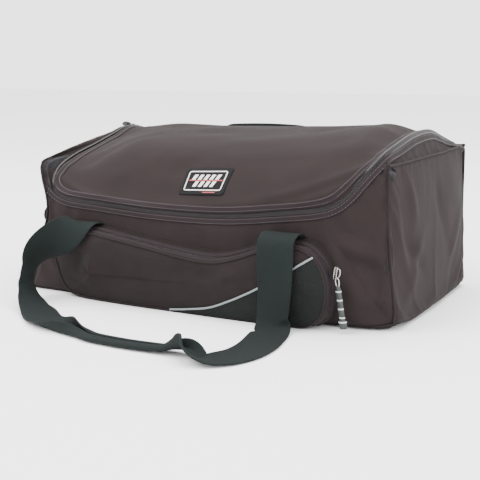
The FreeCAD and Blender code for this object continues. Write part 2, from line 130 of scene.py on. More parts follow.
def coons(bottom, top, left, right):
    """Grid inside four lines: bottom and top run left to right, left and right run bottom to top."""
    rows, cols = len(left), len(bottom)
    v = np.linspace(0, 1, rows)[:, None, None]
    u = np.linspace(0, 1, cols)[None, :, None]
    across = left[:, None] * (1 - u) + right[:, None] * u
    along = bottom[None] * (1 - v) + top[None] * v
    corners = (bottom[0] * (1 - u) + bottom[-1] * u) * (1 - v) + (top[0] * (1 - u) + top[-1] * u) * v
    return across + along - corners


def normals(grid, outward):
    n = unit(np.cross(np.gradient(grid, axis=1), np.gradient(grid, axis=0)))
    return n if (n.reshape(-1, 3) @ vec(outward)).mean() > 0 else -n


def travelled(grid):
    """Distances from the first row and from the first column, along the grid."""
    down = np.cumsum(np.linalg.norm(np.diff(grid, axis=0, prepend=grid[:1]), axis=2), axis=0)
    over = np.cumsum(np.linalg.norm(np.diff(grid, axis=1, prepend=grid[:, :1]), axis=2), axis=1)
    return down, over


def edge_distance(grid, sides="trbl"):
    """Distance to the nearest named side: t first row, b last row, l first column, r last."""
    down, over = travelled(grid)
    sums = {"t": down, "b": down[-1:] - down, "l": over, "r": over[:, -1:] - over}
    return np.min([sums[s] for s in sides], axis=0)


def puff(grid, outward, height, margin, sides="trbl"):
    """The grid swollen outward between its seams."""
    rise = height * (1 - np.exp(-edge_distance(grid, sides) / margin))
    return grid + normals(grid, outward) * rise[..., None]


def noise_field(grid, scale, shift):
    """Smooth noise at each point of a grid."""
    flat = grid.reshape(-1, 3) * vec(scale) + shift
    return np.array([noise.noise(Vector(p)) for p in flat]).reshape(grid.shape[:2])


def ripple(grid, outward, seed, size, depth, stretch=(1, 1, 1)):
    """Soft irregular waves, none at the seams."""
    wave = noise_field(grid, vec(stretch) / size, seed * SEED_STEP)
    fade = 1 - np.exp(-edge_distance(grid) / RIPPLE_MARGIN)
    return grid + normals(grid, outward) * (wave * depth * fade)[..., None]


def strong_middle(along):
    """A fold's strength along its length."""
    return 0.25 + 0.75 * np.sin(math.pi * along)


def fold_heights(grid, folds, strength=strong_middle):
    """Height of the folds at each point. A fold has its ends, a width and a height, or a dent."""
    out = np.zeros(grid.shape[:2])
    for start, end, width, height in folds:
        a, b = vec(start), vec(end)
        along = np.clip(((grid - a) @ (b - a)) / ((b - a) @ (b - a)), 0, 1)
        away = np.linalg.norm(grid - (a + along[..., None] * (b - a)), axis=2)
        out += height * strength(along) * np.exp(-((away / width) ** 2))
    return out


def crease(grid, outward, folds):
    """The grid with folds in it, none at the seams."""
    fade = 1 - np.exp(-edge_distance(grid) / FOLD_MARGIN)
    return grid + normals(grid, outward) * (fold_heights(grid, folds) * fade)[..., None]


# ---------------------------------------------------------------- meshes
def make_mesh(name, points, faces, material, smooth_shading=True, uv=None):
    mesh = bpy.data.meshes.new(name)
    mesh.from_pydata([tuple(p) for p in np.asarray(points, float) * MM], [], faces)
    mesh.validate()
    if uv is not None:
        corners = np.empty(len(mesh.loops), np.int32)
        mesh.loops.foreach_get("vertex_index", corners)
        flat_uv = np.asarray(uv, float).reshape(-1, 2)[corners] * MM
        mesh.uv_layers.new(name="cloth").data.foreach_set("uv", flat_uv.ravel())
    piece = bpy.data.objects.new(name, mesh)
    bpy.context.scene.collection.objects.link(piece)
    for m in material if isinstance(material, (list, tuple)) else [material]:
        mesh.materials.append(m)
    mesh.polygons.foreach_set("use_smooth", [smooth_shading] * len(mesh.polygons))
    return piece


def grid_faces(rows, cols, flip=False, wrap=False):
    faces = []
    for i in range(rows - 1):
        for j in range(cols if wrap else cols - 1):
            k = (j + 1) % cols
            quad = (i * cols + j, (i + 1) * cols + j, (i + 1) * cols + k, i * cols + k)
            faces.append(quad[::-1] if flip else quad)
    return faces


def mesh_of(name, grid, material, wrap=False):
    """A grid of points as a sheet of cloth."""
    faces = grid_faces(*grid.shape[:2], wrap=wrap)
    return make_mesh(name, grid.reshape(-1, 3), faces, material, uv=cloth_uv(grid))


def cloth_uv(grid):
    """Distances across and along the cloth, so that the weave runs with it."""
    down, over = travelled(grid)
    return np.stack(np.meshgrid(over.mean(axis=0), down.mean(axis=1)), axis=2)


def settle(piece, cols, rows, swell, pressure, cap):
    """A short cloth simulation with the seams held, so that the fabric finds its own puckers.

    No point moves further than cap.
    """
    scene = bpy.context.scene
    numbers = np.arange(rows * cols).reshape(rows, cols)
    pinned = sorted(set(numbers.ravel().tolist()) - set(numbers[1:-1, 1:-1].ravel().tolist()))
    piece.vertex_groups.new(name="seams").add(pinned, 1.0, "REPLACE")
    cloth = piece.modifiers.new("Cloth", "CLOTH")
    s = cloth.settings
    s.quality, s.mass, s.air_damping = 5, 0.25, 4.0
    s.tension_stiffness = s.compression_stiffness = 12.0
    s.shear_stiffness, s.bending_stiffness = 6.0, 0.6
    s.vertex_group_mass = "seams"
    s.shrink_min = s.shrink_max = -swell
    s.use_pressure, s.uniform_pressure_force = True, pressure
    s.effector_weights.gravity = 0.3
    cloth.collision_settings.use_collision = False
    for number in range(1, SETTLE_FRAMES + 1):
        scene.frame_set(number)
    before = np.array([v.co for v in piece.data.vertices])
    shape = piece.evaluated_get(bpy.context.evaluated_depsgraph_get()).to_mesh()
    move = np.array([v.co for v in shape.vertices]) - before
    piece.modifiers.remove(cloth)
    piece.vertex_groups.clear()
    scene.frame_set(1)
    size = np.linalg.norm(move, axis=1, keepdims=True)
    move *= cap * MM * np.tanh(size / (cap * MM)) / np.maximum(size, 1e-9)
    piece.data.vertices.foreach_set("co", (before + move).ravel())
    piece.data.update()


def smooth_out(piece):
    fine = piece.modifiers.new("Smooth", "SUBSURF")
    fine.levels = fine.render_levels = 1


def thicken(piece, name, thickness, offset=0):
    """Give a sheet its thickness, to both sides or, with an offset of -1, inwards."""
    shell = piece.modifiers.new(name, "SOLIDIFY")
    shell.thickness, shell.offset = thickness * MM, offset
    return shell


def padded_panel(name, grid, outward, nodes, body="bag", sim=None, share=None):
    """A fabric panel over foam and lining: its outer surface, its inner face and the rim.

    share is how much of the padding each point has.
    """
    rows, cols = grid.shape[:2]
    n = np.cross(grid[1:, :-1] - grid[:-1, :-1], grid[:-1, 1:] - grid[:-1, :-1]).reshape(-1, 3)
    flip = (n @ vec(outward)).mean() < 0
    materials = [mats["shell"], mats["lining"], mats["binding"]]
    faces = grid_faces(rows, cols, flip)
    piece = make_mesh(name, grid.reshape(-1, 3), faces, materials, uv=cloth_uv(grid))
    if sim:
        settle(piece, cols, rows, *sim)
    thick = thicken(piece, "Foam and lining", PADDING, -1)
    if share is not None:
        group = piece.vertex_groups.new(name="padding")
        for k, weight in enumerate(share.ravel()):
            group.add([k], float(weight), "REPLACE")
        thick.vertex_group = "padding"
    thick.material_offset, thick.material_offset_rim = 1, 2
    smooth_out(piece)
    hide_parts(*nodes)
    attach(piece, body)
    return piece


def sweep(name, line, side, up, section, material):
    """A tube: the section's (across, above) points carried along the line, with closed ends."""
    across, above = vec(section)[None, :, :1], vec(section)[None, :, 1:]
    ring = line[:, None] + side[:, None] * across + up[:, None] * above
    rows, cols = ring.shape[:2]
    faces = grid_faces(rows, cols, wrap=True)
    faces += [tuple(range(cols)), tuple(range((rows - 1) * cols, rows * cols))[::-1]]
    return make_mesh(name, ring.reshape(-1, 3), faces, material, uv=cloth_uv(ring))


BLOCK_TOP = 0.72  # size of a tooth's or stitch's top against its foot
CUBE = [(0, 1, 3, 2), (4, 6, 7, 5), (0, 4, 5, 1), (2, 3, 7, 6), (0, 2, 6, 4), (1, 5, 7, 3)]


def block(centre, along, across, above, size):
    """A small box with its top drawn in, as a tooth or a stitch."""
    points = []
    for a in (-1, 1):
        for b in (-1, 1):
            for c in (-1, 1):
                tight = BLOCK_TOP if c > 0 else 1
                point = centre + along * a * size[0] * tight / 2 + across * b * size[1] * tight / 2
                points.append(point + above * c * size[2] / 2)
    return points, CUBE


def row_of(line, side, up, offset, height, pitch, size, skip=0.0):
    """Blocks at equal distances beside a line."""
    s = lengths(line)
    made = []
    for d in np.arange(pitch * (0.5 + skip), s[-1], pitch):
        at = [vec([np.interp(d, s, field[:, k]) for k in range(3)]) for field in (line, side, up)]
        across, above = unit(at[1]), unit(at[2])
        centre = at[0] + across * offset + above * height
        made.append(block(centre, unit(np.cross(across, above)), across, above, size))
    return made


def merged(name, parts, material):
    points, faces = [], []
    for more_points, more_faces in parts:
        start = len(points)
        points += list(more_points)
        faces += [tuple(start + k for k in face) for face in more_faces]
    return make_mesh(name, points, faces, material, smooth_shading=False)


def round_section(radius, count=10, squash=1.0):
    angles = np.linspace(0, 2 * math.pi, count, endpoint=False)
    return [(radius * math.cos(a), squash * radius * math.sin(a)) for a in angles]


def frames(line, up):
    """Side and up directions along a line, square to it."""
    t = tangents(line)
    up = unit(up - t * np.sum(up * t, axis=1, keepdims=True))
    return unit(np.cross(t, up)), up


# ---------------------------------------------------------------- materials
def new_material(name, colour, rough, sheen=0.0, metallic=0.0, spec=0.5):
    m = bpy.data.materials.new(name)
    m.use_nodes = True
    nodes, links = m.node_tree.nodes, m.node_tree.links
    shader = nodes["Principled BSDF"]
    shader.inputs["Base Color"].default_value = (*colour, 1)
    shader.inputs["Roughness"].default_value = rough
    shader.inputs["Metallic"].default_value = metallic
    shader.inputs["Sheen Weight"].default_value = sheen
    shader.inputs["Sheen Roughness"].default_value = 0.5
    shader.inputs["Specular IOR Level"].default_value = spec
    return m, nodes, links, shader


def math_node(nodes, links, kind, a, b):
    n = nodes.new("ShaderNodeMath")
    n.operation = kind
    for k, value in enumerate((a, b)):
        if isinstance(value, (int, float)):
            n.inputs[k].default_value = value
        else:
            links.new(value, n.inputs[k])
    return n.outputs[0]


def noise_node(nodes, links, scale, detail):
    """Noise in the object's own coordinates."""
    texture = nodes.new("ShaderNodeTexNoise")
    texture.inputs["Scale"].default_value, texture.inputs["Detail"].default_value = scale, detail
    links.new(nodes.new("ShaderNodeTexCoord").outputs["Object"], texture.inputs["Vector"])
    return texture.outputs["Fac"]


def colour_from(nodes, links, shader, amount, colour, tone, stops=(0, 1)):
    """Darker and lighter tones of a colour, by amount."""
    ramp = nodes.new("ShaderNodeValToRGB")
    for stop, position, share in zip(ramp.color_ramp.elements, stops, (1 - tone, 1 + tone)):
        stop.position = position
        stop.color = (*[min(c * share, 1) for c in colour], 1)
    links.new(amount, ramp.inputs["Fac"])
    links.new(ramp.outputs["Color"], shader.inputs["Base Color"])


def roughness_from(nodes, links, shader, amount, low, high):
    between = nodes.new("ShaderNodeMapRange")
    between.inputs["To Min"].default_value, between.inputs["To Max"].default_value = low, high
    links.new(amount, between.inputs["Value"])
    links.new(between.outputs["Result"], shader.inputs["Roughness"])


def relief_from(nodes, links, shader, height, strength, distance):
    relief = nodes.new("ShaderNodeBump")
    relief.inputs["Strength"].default_value = strength
    relief.inputs["Distance"].default_value = distance
    links.new(height, relief.inputs["Height"])
    links.new(relief.outputs["Normal"], shader.inputs["Normal"])


def woven(name, colour, pitch=(1.1, 1.1), rough=0.8, bump=0.35, tone=0.16, stripes=(1.0, 1.0)):
    """Woven cloth: threads at their pitches in millimetres, patches of tone, and fuzz."""
    m, nodes, links, shader = new_material(name, colour, rough, sheen=0.015, spec=0.06)
    threads = []
    for axis, step, strength in zip("XY", pitch, stripes):
        wave = nodes.new("ShaderNodeTexWave")
        wave.bands_direction = axis
        wave.inputs["Scale"].default_value = WAVE_SCALE / (step * MM)
        links.new(nodes.new("ShaderNodeTexCoord").outputs["UV"], wave.inputs["Vector"])
        threads.append(math_node(nodes, links, "MULTIPLY", wave.outputs["Fac"], strength))
    weave = math_node(nodes, links, "ADD", threads[0], threads[1])
    patches = noise_node(nodes, links, 26, 5)
    fuzz = noise_node(nodes, links, 1100, 3)
    patch_tone = math_node(nodes, links, "MULTIPLY", patches, 0.6)
    weave_tone = math_node(nodes, links, "MULTIPLY", weave, 0.14)
    amount = math_node(nodes, links, "ADD", patch_tone, weave_tone)
    colour_from(nodes, links, shader, amount, colour, tone, (0.25, 0.8))
    roughness_from(nodes, links, shader, patches, rough - 0.08, min(rough + 0.1, 1))
    height = math_node(nodes, links, "ADD", weave, math_node(nodes, links, "MULTIPLY", fuzz, 0.8))
    relief_from(nodes, links, shader, height, bump, 0.0004)
    return m


def moulded(name, colour, rough, metallic=0.0, grain=500, bump=0.15, tone=0.2, spec=0.5):
    """Plastic, rubber or metal with a fine grain and slight wear."""
    m, nodes, links, shader = new_material(name, colour, rough, 0.0, metallic, spec)
    fine = noise_node(nodes, links, grain, 4)
    colour_from(nodes, links, shader, fine, colour, tone)
    roughness_from(nodes, links, shader, fine, max(rough - 0.1, 0.05), min(rough + 0.12, 1))
    relief_from(nodes, links, shader, fine, bump, 0.0002)
    return m


WAVE_SCALE = 0.314  # a wave texture's scale that gives one band a metre
mats = {
    "shell": woven("shell cloth", (0.0200, 0.0148, 0.0150)),
    "pocket": woven("pocket cloth", (0.0150, 0.0112, 0.0114)),
    "binding": woven("seam binding", (0.017, 0.013, 0.0135), (0.8, 0.8), rough=0.7),
    "tape": woven("zip tape", (0.019, 0.0140, 0.0155), (0.7, 1.4), rough=0.68, bump=0.4),
    "coil": moulded("zip coil", (0.012, 0.009, 0.010), 0.38, grain=900),
    "lining": woven("lining", (0.030, 0.030, 0.033), (2.4, 2.4), rough=0.6),
    "webbing": woven("webbing", (0.0105, 0.0142, 0.0135), (1.6, 0.9), rough=0.75, bump=0.8,
                     stripes=(0.45, 1.0)),
    "thread": moulded("thread", (0.045, 0.036, 0.037), 0.6, grain=2600, bump=0.3),
    "web_thread": moulded("webbing thread", (0.030, 0.040, 0.038), 0.6, grain=2600, bump=0.3),
    "accent": woven("accent mesh", (0.0090, 0.0104, 0.0100), (2.0, 2.0), rough=0.62, bump=0.8, tone=0.3),
    "reflective": moulded("reflective piping", (0.15, 0.165, 0.17), 0.36, metallic=0.25, grain=1400,
                          bump=0.3),
    "metal": moulded("slider metal", (0.42, 0.40, 0.38), 0.3, metallic=1.0, grain=240, bump=0.1),
    "rubber": moulded("pull rubber", (0.020, 0.025, 0.024), 0.55, grain=420, bump=0.35),
    "rubber_light": moulded("pull light bands", (0.40, 0.42, 0.41), 0.5, grain=420, tone=0.08),
    "label": moulded("label rubber", (0.003, 0.003, 0.0035), 0.6, grain=300, bump=0.2, spec=0.12),
    "label_light": moulded("label light print", (0.62, 0.60, 0.57), 0.5, grain=380, tone=0.06),
    "label_red": moulded("label red print", (0.26, 0.03, 0.03), 0.5, grain=380, tone=0.1),
    "floor": moulded("studio floor", (0.9, 0.9, 0.9), 0.8, grain=4, bump=0.0, tone=0.01, spec=0.1),
}

# ---------------------------------------------------------------- the main zip's line and the outer seams
ZIP_RUNS = [
    [(LEFT + 19, BACK - 3, SEAM_TOP + 1), (LEFT + 19, 100, 219), (LEFT + 19, 57, 224),
     (LEFT + 19, 20, 215), (LEFT + 19, -30, 202),
     (LEFT + 19, -81, 190), (LEFT + 21, -118, 178), (LEFT + 25, -140, 165)],
    [(LEFT + 32, -152, 153), (LEFT + 45, -159, 144), (LEFT + 63, FRONT - 2, 138),
     (LEFT + 83, FRONT - 2, 135.5)],
    [(LEFT + 125, FRONT - 2, 133), (-81, FRONT - 3, 129), (-15, FRONT - 3, 128), (48, FRONT - 3, 130),
     (110, FRONT - 3, 137), (168, FRONT - 2, 145)],
    [(193, FRONT - 2, 153), (211, FRONT - 1, 167), (RIGHT - 45, -159, 189), (RIGHT - 31, -153, 205),
     (RIGHT - 23, -138, 217)],
    [(RIGHT - 20, -110, 224), (RIGHT - 20, -60, 232), (RIGHT - 20, -10, CREST - 3),
     (RIGHT - 20, 30, CREST - 5), (RIGHT - 20, 80, 222),
     (RIGHT - 20, BACK - 3, SEAM_TOP)],
]
RUN_COUNTS = [58, 22, 74, 26, 58]
EDGE_RUNS = [
    [(LEFT + 11, BACK - 6, 203), (LEFT + 8, 89, 202), (LEFT + 6, 6, 196), (LEFT + 6, -49, 192),
     (LEFT + 8, -110, 189), (LEFT + 13, -146, 186), (LEFT + 18, FRONT + 1, 177)],
    [(LEFT + 18, FRONT + 1, 177), (LEFT + 22, FRONT - 1, 160), (LEFT + 28, FRONT - 1, 135),
     (LEFT + 28, FRONT - 1, 110), (LEFT + 18, FRONT, 80),
     (LEFT + 6, FRONT + 1, 40), (LEFT - 5, FRONT + 2, 2)],
    [(LEFT - 5, FRONT + 2, 2), (-180, FRONT, 1), (0, FRONT - 1, 1), (150, FRONT - 1, 2),
     (240, FRONT + 3, 4), (RIGHT - 7, FRONT + 14, 9)],
    [(RIGHT - 7, FRONT + 14, 9), (RIGHT - 3, FRONT + 5, 25), (RIGHT - 4, FRONT + 1, 50),
     (RIGHT - 8, FRONT, 87), (RIGHT - 12, FRONT, 143),
     (RIGHT - 13, FRONT - 1, 203)],
    [(RIGHT - 13, FRONT - 1, 203), (RIGHT - 9, -110, 204), (RIGHT - 7, -40, 205), (RIGHT - 7, 40, 205),
     (RIGHT - 9, 110, 206), (RIGHT - 12, BACK - 6, 206)],
]


def zip_line():
    """The zip's line as one smooth run, with each section's own number of points."""
    steps = 16
    line = spline([p for run in ZIP_RUNS for p in run], steps=steps)
    runs, start = [], 0
    ends = np.cumsum([len(run) for run in ZIP_RUNS]) - 1
    for end, count in zip(ends, RUN_COUNTS):
        part = line[start * steps : end * steps + 1]
        runs.append(evenly(part, count + 1)[:-1])
        start = end
    return np.vstack(runs + [line[-1:]])


def outer_line():
    runs = [curve(run, count + 1)[:-1] for run, count in zip(EDGE_RUNS, RUN_COUNTS)]
    return np.vstack(runs + [vec(EDGE_RUNS[-1][-1])[None]])


ZIP = zip_line()
OUTER = outer_line()
BREAKS = np.concatenate([[0], np.cumsum(RUN_COUNTS)])


def outer_part(k):
    return OUTER[BREAKS[k] : BREAKS[k + 1] + 1]


# ---------------------------------------------------------------- shell panels
LEFT_BAND_SWELL = 10.0  # how far the cloth stands up between the zip and the left end's seam
collar = ruled(ZIP, OUTER, 30)
middle_out = unit(collar - vec([0, 0, 60]))
band = np.minimum(1, np.linalg.norm(OUTER - ZIP, axis=1) / 90)[None, :, None]


def collar_normals(grid):
    n = unit(np.cross(np.gradient(grid, axis=1), np.gradient(grid, axis=0)))
    return np.where(np.sum(n * middle_out, axis=2, keepdims=True) > 0, n, -n)


def left_top(grid, beyond, fade_x, above, fade_z):
    """How much each point belongs to the band above the left end."""
    return smooth((-grid[..., 0] - beyond) / fade_x) * smooth((grid[..., 2] - above) / fade_z)


down = edge_distance(collar, "tb")
across_band = np.linspace(0, 1, collar.shape[0])[:, None]
stand = LEFT_BAND_SWELL * left_top(collar, 228, 22, 140, 30) * 4 * across_band * (1 - across_band)
collar = collar + vec([-0.25, -0.1, 1]) * stand[..., None]
rise = (4.5 + 3.0 * band[..., 0]) * (1 - np.exp(-down / 13))
collar = collar + collar_normals(collar) * rise[..., None]
wave = noise_field(collar, [0.018, 0.02, 0.012], 5.1)
small = noise_field(collar, [0.05, 0.05, 0.03], 9.7)
rise = (wave * 4.5 + small * 1.4) * (1 - np.exp(-down / 16))
collar = collar + collar_normals(collar) * rise[..., None]
FRONT_FOLDS = [
    ((LEFT + 26, FRONT - 4, 112), (LEFT + 75, FRONT - 5, 92), 9, -4.0),
    ((LEFT + 20, FRONT - 4, 60), (LEFT + 62, FRONT - 5, 96), 9, 3.0),
    ((232, FRONT - 5, 120), (255, FRONT - 5, 30), 10, -3.5),
    ((214, FRONT - 5, 60), (262, FRONT - 5, 26), 10, 3.0),
    ((222, FRONT - 5, 170), (256, FRONT - 5, 128), 9, -3.0),
    ((LEFT + 60, FRONT - 5, 128), (LEFT + 120, FRONT - 5, 112), 10, -2.5),
    ((205, FRONT - 5, 92), (258, FRONT - 5, 74), 8, -4.5),
    ((208, FRONT - 5, 106), (262, FRONT - 5, 92), 9, 3.5),
    ((180, FRONT - 5, 128), (232, FRONT - 5, 112), 8, -3.0),
    ((-40, FRONT - 5, 118), (60, FRONT - 5, 110), 8, 2.0),
]
fade = 1 - np.exp(-edge_distance(collar, "tb") / FOLD_MARGIN)
rise = fold_heights(collar, FRONT_FOLDS) * fade
collar = collar + collar_normals(collar) * rise[..., None]
front_nodes = ["front_panel", "front_foam", "front_lining", "left_top_band", "right_top_band"]
front_shell = padded_panel("front_and_top_bands", collar, (0, -1, 0.2), front_nodes,
                           sim=(0.012, 0.4, 5.0), share=1 - 0.93 * left_top(collar, 212, 24, 118, 30))

half_left, half_right = BREAKS[1] + RUN_COUNTS[1] // 2, BREAKS[3] + RUN_COUNTS[3] // 2
LID_ROWS, LID_COLS = 76, 104
lid_front = evenly(ZIP[half_left : half_right + 1], LID_COLS)
lid_left = evenly(ZIP[: half_left + 1][::-1], LID_ROWS)
lid_right = evenly(ZIP[half_right:], LID_ROWS)
lid_back = curve([ZIP[0], (-120, BACK - 2.5, SEAM_TOP + 1.5), (0, BACK - 2.2, SEAM_TOP + 2),
                  (120, BACK - 2.5, SEAM_TOP + 1.5), ZIP[-1]], LID_COLS)
lid = coons(lid_front, lid_back, lid_left, lid_right)
LID_MIDDLE = [(0, FRONT - 3, 129), (0, -154, 152), (0, -141, 175), (0, -116, 202), (0, -78, 220),
              (0, -30, 229), (0, 10, CREST - 5), (0, 50, CREST - 6),
              (0, 100, 223), (0, BACK - 2.2, SEAM_TOP + 2)]
middle = curve(LID_MIDDLE, LID_ROWS)
change = middle - lid[:, LID_COLS // 2]
change[:, 0] = 0
u = np.linspace(0, 1, LID_COLS)
share = smooth(u / 0.24) * smooth((1 - u) / 0.12)
lid = lid + share[None, :, None] * change[:, None]
LID_OUT = (0, -0.4, 1)
lid = puff(lid, LID_OUT, 5.0, 14, "trl")
lid = ripple(lid, LID_OUT, 1, 120, 4.0, (0.6, 1.2, 1.2))
lid = ripple(lid, LID_OUT, 2, 38, 1.6, (0.5, 1.2, 1.2))
LID_FOLDS = [
    ((100, -150, 165), (190, -120, 205), 12, 4.0),
    ((60, -158, 150), (150, -150, 158), 11, -3.0),
    ((-215, -120, 175), (-130, -60, 222), 13, -4.0),
    ((-235, -60, 195), (-150, 20, 232), 12, 3.0),
    ((-60, -140, 178), (-10, -120, 200), 12, -2.5),
    ((205, -150, 180), (235, -70, 232), 10, -3.5),
    ((-160, -140, 165), (-90, -125, 190), 12, 2.5),
    ((120, -60, 232), (210, 40, 238), 16, -3.0),
]
lid = crease(lid, LID_OUT, LID_FOLDS)
lid_shell = padded_panel("lid_shell", lid, LID_OUT, ["lid_panel", "lid_foam", "lid_lining"], "lid",
                         sim=(0.015, 0.35, 6.0))

BOTTOM_BACK_LEFT, BOTTOM_BACK_RIGHT = (LEFT + 4, BACK - 4, 2), (RIGHT - 4, BACK - 4, 3)
END_ROWS, END_COLS = 56, 80
back_left_edge = curve([BOTTOM_BACK_LEFT, (LEFT + 6, BACK - 2, 60), (LEFT + 9, BACK - 3, 140),
                        OUTER[0]], END_ROWS)
back_right_edge = curve([BOTTOM_BACK_RIGHT, (RIGHT - 5, BACK - 2, 60), (RIGHT - 8, BACK - 3, 140),
                         OUTER[-1]], END_ROWS)
front_left_edge = evenly(outer_part(1)[::-1], END_ROWS)
front_right_edge = evenly(outer_part(3), END_ROWS)
bottom_left_edge = curve([OUTER[BREAKS[2]], (LEFT + 6, -60, 1), (LEFT + 6, 60, 1),
                          BOTTOM_BACK_LEFT], END_COLS)
bottom_right_edge = curve([OUTER[BREAKS[3]], (RIGHT - 7, -90, 2), (RIGHT - 6, 40, 1.5),
                           BOTTOM_BACK_RIGHT], END_COLS)

BACK_COLS = 100
back_top_edge = curve([OUTER[0], ZIP[0], (-120, BACK - 2.5, SEAM_TOP), (0, BACK - 2, SEAM_TOP + 0.5),
                       (120, BACK - 2.5, SEAM_TOP), ZIP[-1], OUTER[-1]], BACK_COLS)
bottom_back_edge = curve([BOTTOM_BACK_LEFT, (-120, BACK - 3, 1), (0, BACK - 3, 1), (120, BACK - 3, 1),
                          BOTTOM_BACK_RIGHT], BACK_COLS)
RIGHT_END_FOLDS = [
    ((RIGHT, -120, 30), (RIGHT, -60, 110), 12, 5.0),
    ((RIGHT, -130, 120), (RIGHT, -50, 60), 11, -5.0),
    ((RIGHT, -20, 190), (RIGHT, 60, 60), 13, -4.0),
    ((RIGHT, 40, 30), (RIGHT, 120, 130), 12, 4.0),
    ((RIGHT, -110, 190), (RIGHT, -80, 120), 10, 3.5),
]
WALLS = [  # name, edges, outward, swell, (seed, size, depth, stretch) of its waves, folds, cloth
    ("right_end",
     (bottom_right_edge, evenly(outer_part(4), END_COLS), front_right_edge, back_right_edge),
     (1, 0, 0), (11, 18), [(3, 120, 6.0, (1, 1.0, 0.8)), (4, 50, 1.2, (1, 1, 0.8))], RIGHT_END_FOLDS,
     (0.02, 0.4, 6.0)),
    ("left_end",
     (bottom_left_edge, evenly(outer_part(0)[::-1], END_COLS), front_left_edge, back_left_edge),
     (-1, 0, 0), (6, 18), [(5, 105, 8.0, (1, 1.0, 0.7)), (6, 36, 2.0, (1, 1, 0.6))], [],
     (0.02, 0.3, 6.0)),
    ("back", (bottom_back_edge, back_top_edge, back_left_edge, back_right_edge),
     (0, 1, 0), (5, 16), [(7, 120, 6.0), (8, 40, 1.6)], [],
     (0.012, 0.3, 4.0)),
]
for name, edges, outward, swell, waves, folds, cloth in WALLS:
    wall = puff(coons(*edges), outward, *swell)
    for one_wave in waves:
        wall = ripple(wall, outward, *one_wave)
    if folds:
        wall = crease(wall, outward, folds)
    padded_panel(name, wall, outward, [f"{name}_panel", f"{name}_foam", f"{name}_lining"], sim=cloth)

bottom = coons(evenly(outer_part(2), BACK_COLS), bottom_back_edge, bottom_left_edge, bottom_right_edge)
bottom[1:-1, 1:-1, 2] = np.maximum(bottom[1:-1, 1:-1, 2] * 0.3, 0.4)
padded_panel("bottom", bottom, (0, 0, -1), ["bottom_panel", "bottom_foam", "bottom_lining"])

# ---------------------------------------------------------------- the main zip
keys = np.array([0, BREAKS[1] - 8, (BREAKS[1] + BREAKS[2]) // 2, BREAKS[2] + 6, BREAKS[3] - 4,
                 (BREAKS[3] + BREAKS[4]) // 2, BREAKS[4] + 6, BREAKS[5]])
ups = vec([(-0.5, 0, 0.87), (-0.6, -0.2, 0.8), (-0.4, -0.85, 0.35), (0, -1, 0.12), (0, -1, 0.12),
           (0.25, -0.88, 0.4), (0.6, -0.2, 0.78), (0.62, 0, 0.78)])
zip_up = unit(np.stack([np.interp(np.arange(len(ZIP)), keys, ups[:, k]) for k in range(3)], 1))
fine_zip = evenly(np.hstack([ZIP, zip_up]), 520)
zip_path, zip_rise = fine_zip[:, :3], unit(fine_zip[:, 3:])
zip_side, zip_rise = frames(zip_path, zip_rise)

BODY_TAPE = [(2.7, -1.2), (2.7, 0.9), (3.6, 1.7), (7, 1.9), (10.5, 1.9), (12.2, 1.3), (12.8, -1)]
LID_TAPE = [(-2.7, -1.2), (-12.8, -1), (-12.2, 1.3), (-10.5, 2.0), (-7, 2.0), (-3.6, 1.8), (-2.7, 0.9)]


def lie_of(cloth, offset):
    """How high the settled cloth is beside the zip's path, at a distance across."""
    mesh = cloth.data
    tree = BVHTree.FromPolygons([v.co for v in mesh.vertices], [p.vertices for p in mesh.polygons])
    reach = 25.0
    found = []
    for point, side, up in zip(zip_path, zip_side, zip_rise):
        base = point + side * offset
        hit = tree.ray_cast(Vector((base + up * reach) * MM), Vector(-up), 2 * reach * MM)[0]
        found.append(np.nan if hit is None else (np.array(hit) / MM - base) @ up)
    found = np.array(found)
    number, good = np.arange(len(found)), ~np.isnan(found)
    found = np.interp(number, number[good], found[good]) if good.any() else np.zeros(len(found))
    window = np.hanning(15)
    return np.convolve(np.pad(found, 7, mode="edge"), window / window.sum(), mode="valid")


def zip_pieces(name_tape, name_coil, tape, direction, body, nodes, cloth):
    stitches = []
    for offset, height in ((5.2, 0.75), (10.6, 1.0)):
        path = zip_path + zip_rise * lie_of(cloth, direction * offset)[:, None]
        stitches += row_of(path, zip_side, zip_rise, direction * offset, height + 1.0, 4.2,
                           (3.0, 0.8, 0.8))
    lies = {offset: lie_of(cloth, offset) for offset in sorted({a for a, h in tape})}
    points = [zip_path + zip_side * a + zip_rise * (lies[a] + h)[:, None] for a, h in tape]
    strip = mesh_of(name_tape, np.stack(points, axis=1), mats["tape"], wrap=True)
    smooth_out(strip)
    thread = merged(name_tape + "_stitches", stitches, mats["thread"])
    teeth = row_of(zip_path, zip_side, zip_rise, direction * 1.1, 0.7, 2.4, (1.3, 2.8, 1.5),
                   0.25 * direction)
    bed = [(direction * a, h) for a, h in ((0.2, -1.6), (3.6, -1.6), (3.6, 0.3), (0.2, -0.2))]
    spine = sweep(name_coil + "_bed", zip_path, zip_side, zip_rise, bed, mats["coil"])
    coil = merged(name_coil, teeth, mats["coil"])
    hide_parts(nodes[0])
    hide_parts(nodes[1])
    for piece, slot in ((strip, "zip_tape"), (thread, "zip_tape"), (coil, "zip_coil"),
                        (spine, "zip_coil")):
        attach(piece, body)


zip_pieces("body_zip_binding", "body_zip_teeth", BODY_TAPE, 1, "bag",
           ["body_zip_tape", "body_zip_coil"], front_shell)
zip_pieces("lid_zip_binding", "lid_zip_teeth", LID_TAPE, -1, "lid",
           ["lid_zip_tape", "lid_zip_coil"], lid_shell)


# ---------------------------------------------------------------- piping along the seams
def piping(name, line, up, radius, nodes=(), material="binding", squash_by=1.0):
    side, rise_dir = frames(line, np.broadcast_to(vec(up), line.shape).copy())
    piece = sweep(name, line, side, rise_dir, round_section(radius, 10, squash_by), mats[material])
    if nodes:
        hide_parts(*nodes)
    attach(piece, "bag")


